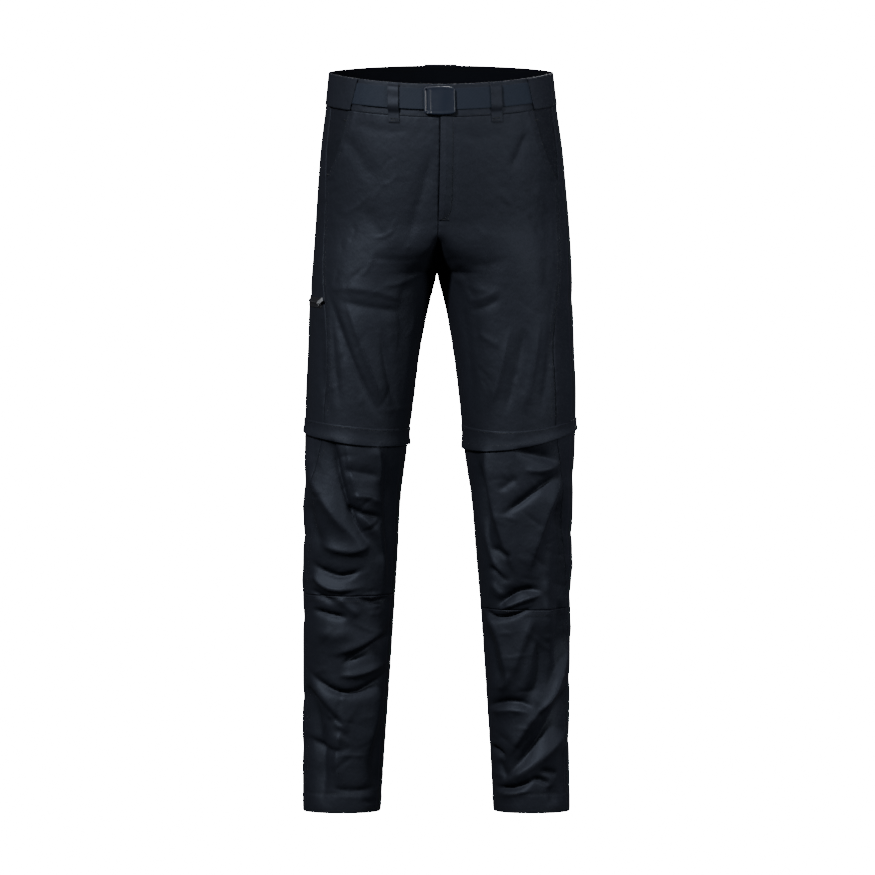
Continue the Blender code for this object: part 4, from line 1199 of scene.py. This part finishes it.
def fly_line(inwards):
    """A stitch path beside the fly strip's curved edge."""
    drops = np.linspace(WAISTBAND_HEIGHT + 3, FLY_END - 0.5, 150)
    width, _ = fly_width(drops)
    turns = (0.4 + np.maximum(width - inwards, 0.6)) / speed(1.0, drops, np.full_like(drops, 0.012))
    points, out = cloth_grid(drops, turns)
    return points + out * (CLOTH / 2 + 0.5), out


def fly_strip(step):
    """The strip that laps over the centre front and curves in to the centre line at its lower end."""
    length = FLY_END - WAISTBAND_HEIGHT
    drops = (WAISTBAND_HEIGHT + length * spread(length, step))[:, None]
    width, below = fly_width(drops)
    share = spread(FLY_WIDTH, step)[None, :]
    speeds = speed(1.0, drops, 0.012 + 0 * drops)
    start = 0.4 / speeds
    turns = start + width * share / speeds
    points, out = cloth_grid(drops, turns)
    across = share * width
    lifted = 2.2 * (1 - ease(0.35, 0.95, across / width)) * (1 - 0.6 * below)
    height = ON_CLOTH + lifted - rounded(across, 1.0, 0.5) - ease(0.9, 1.0, share)
    return points + out * (height - 0.9)[..., None], points + out * height[..., None], points


def buckle_mesh(name):
    """A barrel-sided plate with a rounded rim, a slot and a bar on the wearer's right."""
    half_width = BUCKLE_WIDTH / 2
    corner = 5.0
    xs = half_width * (2 * spread(BUCKLE_WIDTH, 0.55) - 1)
    ts = 2 * spread(BUCKLE_HEIGHT, 0.6) - 1
    past = np.clip(np.abs(xs) - (half_width - corner), 0, corner)
    reach = BUCKLE_HEIGHT / 2 - 1.2 + 1.8 * (1 - (xs / half_width) ** 2)
    reach = reach - (corner - np.sqrt(corner**2 - past**2))
    x = np.repeat(xs[None, :], len(ts), axis=0) - 0.5 * ts[:, None]
    y = ts[:, None] * reach[None, :]
    from_side = half_width - np.abs(xs)[None, :] + 0 * y
    from_end = reach[None, :] - np.abs(y)
    edge = np.minimum(from_side, from_end)
    height = BUCKLE_THICKNESS - rounded(edge, 2.0, 1.9)
    height = height - 1.5 * (xs[None, :] / half_width) ** 2
    height = height - 0.45 * ease(2.6, 3.4, edge) * ease(-11.6, -10.6, xs)[None, :]
    slot, bar, groove = (ease(*rise, xs) * (1 - ease(*fall, xs)) for rise, fall in BUCKLE_BANDS)
    height = height - ease(2.4, 3.0, from_end) * (3.0 * slot + 0.5 * bar + 1.1 * groove)[None, :]
    height = np.maximum(height, 0.35)
    level = COVER + 0.3
    outside = np.stack([x, y, level + height], -1)
    inside = np.stack([x, y, np.full_like(x, level)], -1)
    mesh = shell_mesh(name, inside, outside)
    points, out = cloth_grid(np.array(BELT_MIDDLE), np.array(0.0))
    outward = Vector(out.tolist())
    along = Vector((0, 0, 1)).cross(outward).normalized()
    up = outward.cross(along)
    turned = Matrix((along, up, outward)).transposed().to_4x4()
    turned.translation = Vector(points.tolist()) * MM
    mesh.transform(turned @ Matrix.Translation(Vector((-1.4, -2.4, 0)) * MM))
    return mesh


def row_of_pieces():
    """A node group that sets one small rounded piece after another along each path of a mesh."""
    name = "row of pieces"
    if name in bpy.data.node_groups:
        return bpy.data.node_groups[name]
    group = bpy.data.node_groups.new(name, "GeometryNodeTree")
    for socket, direction, kind in (
        ("Paths", "INPUT", "Geometry"),
        ("Pitch", "INPUT", "Float"),
        ("Piece size", "INPUT", "Vector"),
        ("Material", "INPUT", "Material"),
        ("Pieces", "OUTPUT", "Geometry"),
    ):
        group.interface.new_socket(socket, in_out=direction, socket_type="NodeSocket" + kind)
    given = add_node(group, "NodeGroupInput")
    curve = add_node(group, "GeometryNodeMeshToCurve", {}, {"Mesh": given.outputs["Paths"]})
    even = add_node(
        group, "GeometryNodeResampleCurve", {"mode": "LENGTH"},
        {"Curve": curve.outputs[0], "Length": given.outputs["Pitch"]},
    )
    ball = add_node(group, "GeometryNodeMeshUVSphere", {}, {"Segments": 6, "Rings": 5, "Radius": 0.5})
    smooth = add_node(group, "GeometryNodeSetShadeSmooth", {}, {"Geometry": ball.outputs[0]})
    tangent = add_node(group, "GeometryNodeInputTangent")
    out = add_node(group, "GeometryNodeInputNamedAttribute", {"data_type": "FLOAT_VECTOR"}, {"Name": "out"})
    align = "FunctionNodeAlignRotationToVector"
    along = add_node(group, align, {"axis": "X"}, {"Vector": tangent.outputs[0]})
    facing = add_node(
        group, align, {"axis": "Z", "pivot_axis": "X"},
        {"Rotation": along.outputs[0], "Vector": out.outputs["Attribute"]},
    )
    placed = add_node(
        group, "GeometryNodeInstanceOnPoints", {},
        {
            "Points": even.outputs[0],
            "Instance": smooth.outputs[0],
            "Rotation": facing.outputs[0],
            "Scale": given.outputs["Piece size"],
        },
    )
    real = add_node(group, "GeometryNodeRealizeInstances", {}, {"Geometry": placed.outputs[0]})
    coloured = add_node(
        group, "GeometryNodeSetMaterial", {},
        {"Geometry": real.outputs[0], "Material": given.outputs["Material"]},
    )
    add_node(group, "NodeGroupOutput", {}, {"Pieces": coloured.outputs[0]})
    return group


def pieces_along(name, paths, pitch, size, look):
    """A plain mesh of small pieces along paths, each path a pair of points and directions in mm."""
    points = np.concatenate([path[0] for path in paths]) * MM
    out = np.concatenate([path[1] for path in paths])
    edges = []
    start = 0
    for path in paths:
        edges += [(i, i + 1) for i in range(start, start + len(path[0]) - 1)]
        start += len(path[0])
    mesh = bpy.data.meshes.new(name + "_paths")
    mesh.from_pydata(points.tolist(), edges, [])
    held = mesh.attributes.new("out", "FLOAT_VECTOR", "POINT")
    held.data.foreach_set("vector", out.astype(np.float32).ravel())
    source = bpy.data.objects.new(name + "_paths", mesh)
    bpy.context.scene.collection.objects.link(source)
    group = row_of_pieces()
    modifier = source.modifiers.new("row", "NODES")
    modifier.node_group = group
    for item in group.interface.items_tree:
        value = {"Pitch": pitch * MM, "Piece size": [s * MM for s in size], "Material": look}.get(item.name)
        if value is not None:
            modifier[item.identifier] = value
    graph = bpy.context.evaluated_depsgraph_get()
    result = bpy.data.meshes.new_from_object(source.evaluated_get(graph))
    bpy.data.objects.remove(source)
    result.name = name
    made = bpy.data.objects.new(name, result)
    bpy.context.scene.collection.objects.link(made)
    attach(made, "garment")


def waist_line(turn_1, turn_2, drop, level, step=3.0):
    """A stitch path on a layer of the waist."""
    side, u = split_turn(np.array((turn_1 + turn_2) / 2))
    count = max(3, int(abs(turn_2 - turn_1) * float(speed(float(side), 20.0, float(u))) / step))
    points, out = cloth_grid(np.full(count, float(drop)), np.linspace(turn_1, turn_2, count))
    return points + out * level, out


def flap_line(side, share):
    """A stitch path round a knee flap, at a share of its height."""
    turns = np.linspace(0.002, 0.998, 160)
    height = flap_edge(side, turns, "bottom") - flap_edge(side, turns, "top")
    points, out = cloth_at(side, ZIP_OFF_DROP + height * (share - 0.5), turns, settings().crease_depth)
    return points + out * (CLOTH / 2 + FLAP_SEWN_HEIGHT + flap_wave(turns, share) + 0.42)[:, None], out


def colour_property(name, description, code):
    """A colour that the user can change."""
    return bpy.props.FloatVectorProperty(
        name=name, description=description, subtype="COLOR", default=srgb(code), min=0, max=1,
    )


def length_property(name, description, default, low, high):
    """A length in metres that the user can change."""
    return bpy.props.FloatProperty(
        name=name, description=description, subtype="DISTANCE", unit="LENGTH",
        default=default, min=low, max=high,
    )


class TROUSERS_settings(bpy.types.PropertyGroup):
    """Sizes and colours that a user would change."""

    shell_colour: colour_property("Shell", "Colour of the woven nylon", "#1c1e26")
    belt_colour: colour_property("Belt", "Colour of the webbing", "#232a37")
    buckle_colour: colour_property("Buckle", "Colour of the buckle's plastic", "#202736")
    thread_colour: colour_property("Thread", "Colour of the sewing thread", "#151a22")
    stitch_pitch: length_property(
        "Stitch pitch", "Distance from one stitch to the next", 0.0032, 0.002, 0.006,
    )
    crease_depth: bpy.props.FloatProperty(
        name="Crease depth", description="How strongly the cloth is creased", default=1.0, min=0.0, max=1.5,
    )
    front_grid: length_property("Front grid", "Size of the front cloth's faces", 0.0026, 0.002, 0.01)
    back_grid: length_property("Back grid", "Size of the back cloth's faces", 0.0036, 0.002, 0.01)
    flap_stand_off: length_property(
        "Flap stand-off", "How far the knee flap's free edge stands out", 0.003, 0.001, 0.005,
    )


class TROUSERS_OT_legs(bpy.types.Operator):
    """Build the cloth of both legs, from the waistband to the hems"""

    bl_idname = "trousers.legs"
    bl_label = "Legs"

    def execute(self, context):
        leg_pieces(1, "left")
        leg_pieces(-1, "right")
        return {"FINISHED"}


class TROUSERS_OT_knee_flaps(bpy.types.Operator):
    """Build the flap over each leg's zip-off join"""

    bl_idname = "trousers.knee_flaps"
    bl_label = "Knee flaps"

    def execute(self, context):
        knee_flap(1, "left")
        knee_flap(-1, "right")
        return {"FINISHED"}


class TROUSERS_OT_waist(bpy.types.Operator):
    """Build the waistband in its three pieces and the tunnels that the belt comes out of"""

    bl_idname = "trousers.waist"
    bl_label = "Waistband"

    def execute(self, context):
        step = settings().front_grid * 1000
        split = turn_at(8.5, BELT_MIDDLE)
        side = BAND_SIDE_TURN
        for name, turn_1, turn_2, thickness, rounding, node, rests_on in (
            ("left", split, side, 2.2, 0.9, "waistband_front_left", ["front_thigh_left"]),
            ("right", -side, split, 2.2, 0.9, "waistband_front_right", ["front_thigh_right"]),
            ("back", side, 2 - side, 3.0, 1.1, "waistband_back", ["back_thigh_left", "back_thigh_right"]),
        ):
            grids = waist_strip(
                turn_1, turn_2, 0, WAISTBAND_HEIGHT + 0.6, -CLOTH / 2 - 0.6, thickness, step, rounding,
            )
            band = add_strip(f"waistband_cloth_{name}", grids, shell_nylon(), node)
            # The faces turned in to the body take the lining, whose dark colour is painted shade inside the
            # waist.
            band.data.materials.append(lining_nylon_painted_shade())
            for face in band.data.polygons:
                if face.normal.x * face.center.x + face.normal.y * (face.center.y - 0.01) < 0:
                    face.material_index = 1
        for name, turn_1, turn_2, slant in (
            ("left", turn_at(122.0, 4.0), side, (0.016, 0.0)),
            ("right", -side, turn_at(-116.0, 4.0), (0.0, -0.021)),
        ):
            grids = waist_strip(turn_1, turn_2, 0.4, WAISTBAND_HEIGHT, COVER, 1.1, step, 0.5, slant)
            add_strip(
                f"tunnel_cloth_{name}", grids, shell_nylon(), f"waistband_tunnel_{name}",
            )
        return {"FINISHED"}


class TROUSERS_OT_belt(bpy.types.Operator):
    """Build the belt's runs, its free end, its loops and its buckle"""

    bl_idname = "trousers.belt"
    bl_label = "Belt"

    def execute(self, context):
        def across(distance):
            return turn_at(distance, BELT_MIDDLE)

        for name, turn_1, turn_2, level, rests_on in (
            ("left", across(19.5), BELT_SIDE_TURN, ON_CLOTH, "waistband_front_left"),
            ("right", -BELT_SIDE_TURN, across(-14.0), ON_CLOTH, "waistband_front_right"),
            ("end", across(-109.0), across(-12.0), OVER_BELT, "belt_right"),
        ):
            grids = waist_strip(turn_1, turn_2, BELT_TOP, BELT_TOP + BELT_WIDTH, level, WEBBING, STRIP_STEP)
            add_strip(f"belt_webbing_{name}", grids, webbing(), f"belt_{name}")
        for name, loop in FRONT_LOOPS.items():
            node = f"belt_loop_front_{name}"
            rests_on = [f"waistband_front_{name}"]
            add_strip(f"loop_cloth_{name}", belt_loop(*loop), shell_nylon(), node)
        add_strip("loop_cloth_back", back_loop(), shell_nylon(), "belt_loop_back")
        add_piece("buckle_plate", buckle_mesh("buckle_plate"), acetal(), ["buckle"])
        return {"FINISHED"}


class TROUSERS_OT_fly_and_zip(bpy.types.Operator):
    """Build the fly strip and the thigh pocket's zip"""

    bl_idname = "trousers.fly_and_zip"
    bl_label = "Fly and thigh zip"

    def execute(self, context):
        add_strip("fly_cloth", fly_strip(2.0), shell_nylon(), "fly_placket")
        start = float(side_seam(POCKET_ZIP_DROP)) + 0.012
        turns = np.linspace(start, POCKET_ZIP_END, 70)
        down = spread(ZIP_TAPE_WIDTH, 1.2)[:, None]
        drops = POCKET_ZIP_DROP + ZIP_TAPE_WIDTH * (down - 0.5)
        points, out = cloth_at(-1, drops, turns, settings().crease_depth)
        bulge = 0.85 * np.exp(-(((drops - POCKET_ZIP_DROP) / 2.6) ** 2))
        height = (CLOTH / 2 + 1.0 + bulge + 0 * turns)[..., None]
        grids = (points + out * (height - 0.9), points + out * height, points)
        add_strip(
            "zip_tape_cloth", grids, zip_tape(), "thigh_zip_tape",
        )
        for node in ("thigh_zip_slider", "thigh_zip_pull"):
            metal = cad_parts[node]
            metal.data.materials.clear()
            metal.data.materials.append(lacquered_zinc())
        turns = np.linspace(start + 0.012, POCKET_ZIP_END, 160)
        points, out = cloth_at(-1, np.full(160, POCKET_ZIP_DROP), turns)
        path = (points + out * (CLOTH / 2 + 1.95), out)
        pieces_along("zip_coil", [path], 1.5, (0.9, 3.4, 0.9), zip_tape())
        return {"FINISHED"}


class TROUSERS_OT_stitching(bpy.types.Operator):
    """Sew every seam, edge and bartack with rows of stitches"""

    bl_idname = "trousers.stitching"
    bl_label = "Stitching"

    def execute(self, context):
        if not PANELS:
            raise RuntimeError("Build the legs before their stitching")
        paths = []
        for side in (1, -1):
            paths += [PANELS[piece, side].line(*line) for piece, *line in SEAM_STITCHES]
            paths += [flap_line(side, 0.12), flap_line(side, 0.72)]
        top = CLOTH / 2 + 0.3
        foot = WAISTBAND_HEIGHT
        left = turn_at(124.0, 3.0)
        right = turn_at(-122.0, 3.0)
        for turn_1, turn_2, upper, lower, level in (
            (-0.395, 0.395, 2.2, foot - 1.8, top),
            (0.402, 1.598, 2.4, foot - 2.0, top + 0.9),
            (left, 0.395, 2.4, foot - 2.2, COVER + 1.1),
            (-0.395, right, 2.4, foot - 2.2, COVER + 1.1),
        ):
            paths += [waist_line(turn_1, turn_2, drop, level) for drop in (upper, lower)]
        paths.append(fly_line(2.2))
        pitch = settings().stitch_pitch * 1000
        pieces_along("stitches", paths, pitch, (0.75 * pitch, 0.75, 0.5), sewing_thread())
        bars = []
        for across, lean, _ in FRONT_LOOPS.values():
            for drop in (3.4, 51.0, 54.0):
                middle = loop_centre(across, lean, drop)
                ends = [turn_at(middle + reach, drop) for reach in (-5.4, 5.4)]
                bars.append(waist_line(*ends, drop, ON_CLOTH + 1.5, 1.0))
        fly_foot = FLY_END - 1
        ends = [turn_at(across, fly_foot) for across in (1.0, 11.0)]
        bars.append(waist_line(*ends, fly_foot, CLOTH / 2 + 1.2, 1.0))
        for side in (1, -1):
            for drop in (61.0, 143.0):
                turn = float(pocket_opening(drop)) * side
                reach = 4.0 / float(speed(float(side), drop, abs(turn)))
                bars.append(waist_line(turn - reach, turn + reach, drop, CLOTH / 2 + 0.9, 1.0))
        pieces_along("bartacks", bars, 0.8, (0.6, 2.2, 0.5), sewing_thread())
        return {"FINISHED"}


class TROUSERS_OT_stage(bpy.types.Operator):
    """Set the pale floor, the soft lights and the camera"""

    bl_idname = "trousers.stage"
    bl_label = "Stage"

    def execute(self, context):
        scene = context.scene
        level = -(LENGTH + 9) * MM
        corners = [(x * FLOOR_REACH, y * FLOOR_REACH, level) for x, y in ((-1, -1), (1, -1), (1, 1), (-1, 1))]
        mesh = bpy.data.meshes.new("floor")
        mesh.from_pydata(corners, [], [(0, 1, 2, 3)])
        floor = bpy.data.objects.new("floor", mesh)
        scene.collection.objects.link(floor)
        paper, _, shader = new_material("studio paper", 0.9)
        shader.inputs["Base Color"].default_value = (0.9, 0.9, 0.9, 1)
        shader.inputs["Emission Color"].default_value = (1, 1, 1, 1)
        shader.inputs["Emission Strength"].default_value = PAPER_GLOW
        mesh.materials.append(paper)
        floor.visible_diffuse = False
        floor.visible_glossy = False
        world = bpy.data.worlds.new("studio")
        scene.world = world
        world.use_nodes = True
        sky = world.node_tree.nodes["Background"]
        sky.inputs["Color"].default_value = (1, 1, 1, 1)
        # White where it is seen directly, and only a faint light on the cloth.
        seen = add_node(world.node_tree, "ShaderNodeLightPath")
        strength = add_node(
            world.node_tree, "ShaderNodeMapRange", {},
            {"Value": seen.outputs["Is Camera Ray"], "To Min": 0.035, "To Max": PAPER_GLOW},
        )
        world.node_tree.links.new(strength.outputs[0], sky.inputs["Strength"])
        for name, place, size, power in LAMPS:
            light = bpy.data.lights.new(name, "AREA")
            light.shape = "DISK"
            light.size = size
            light.energy = power
            lamp = bpy.data.objects.new(name, light)
            lamp.location = place
            lamp.rotation_euler = (Vector((0, 0, -0.5)) - Vector(place)).to_track_quat("-Z", "Y").to_euler()
            lamp.visible_glossy = not name.startswith("side")
            scene.collection.objects.link(lamp)
        camera = bpy.data.cameras.new("camera")
        camera.lens = SENSOR_WIDTH * CAMERA_DISTANCE / (PICTURE_WIDTH * MM)
        camera.sensor_width = SENSOR_WIDTH
        camera.clip_end = 80
        view = bpy.data.objects.new("camera", camera)
        back = Vector((0, -math.cos(CAMERA_ANGLE), math.sin(CAMERA_ANGLE)))
        view.location = Vector(CAMERA_TARGET) + back * CAMERA_DISTANCE
        view.rotation_euler = (-back).to_track_quat("-Z", "Y").to_euler()
        scene.collection.objects.link(view)
        scene.camera = view
        return {"FINISHED"}


OPERATORS = (
    TROUSERS_OT_legs,
    TROUSERS_OT_knee_flaps,
    TROUSERS_OT_waist,
    TROUSERS_OT_belt,
    TROUSERS_OT_fly_and_zip,
    TROUSERS_OT_stitching,
    TROUSERS_OT_stage,
)


class TROUSERS_PT_panel(bpy.types.Panel):
    """Lists the settings and the pieces"""

    bl_label = "Hiking trousers"
    bl_idname = "TROUSERS_PT_panel"
    bl_space_type = "VIEW_3D"
    bl_region_type = "UI"
    bl_category = "Trousers"

    def draw(self, context):
        for name in TROUSERS_settings.__annotations__:
            self.layout.prop(context.scene.hiking_trousers, name)
        for operator in OPERATORS:
            self.layout.operator(operator.bl_idname)


CLASSES = (TROUSERS_settings, *OPERATORS, TROUSERS_PT_panel)


def register():
    for made in CLASSES:
        bpy.utils.register_class(made)
    bpy.types.Scene.hiking_trousers = bpy.props.PointerProperty(type=TROUSERS_settings)


def unregister():
    del bpy.types.Scene.hiking_trousers
    for made in reversed(CLASSES):
        bpy.utils.unregister_class(made)


def main():
    register()
    bpy.ops.trousers.legs()
    bpy.ops.trousers.knee_flaps()
    bpy.ops.trousers.waist()
    bpy.ops.trousers.belt()
    bpy.ops.trousers.fly_and_zip()
    bpy.ops.trousers.stitching()
    bpy.ops.trousers.stage()


if __name__ == "__main__":
    main()
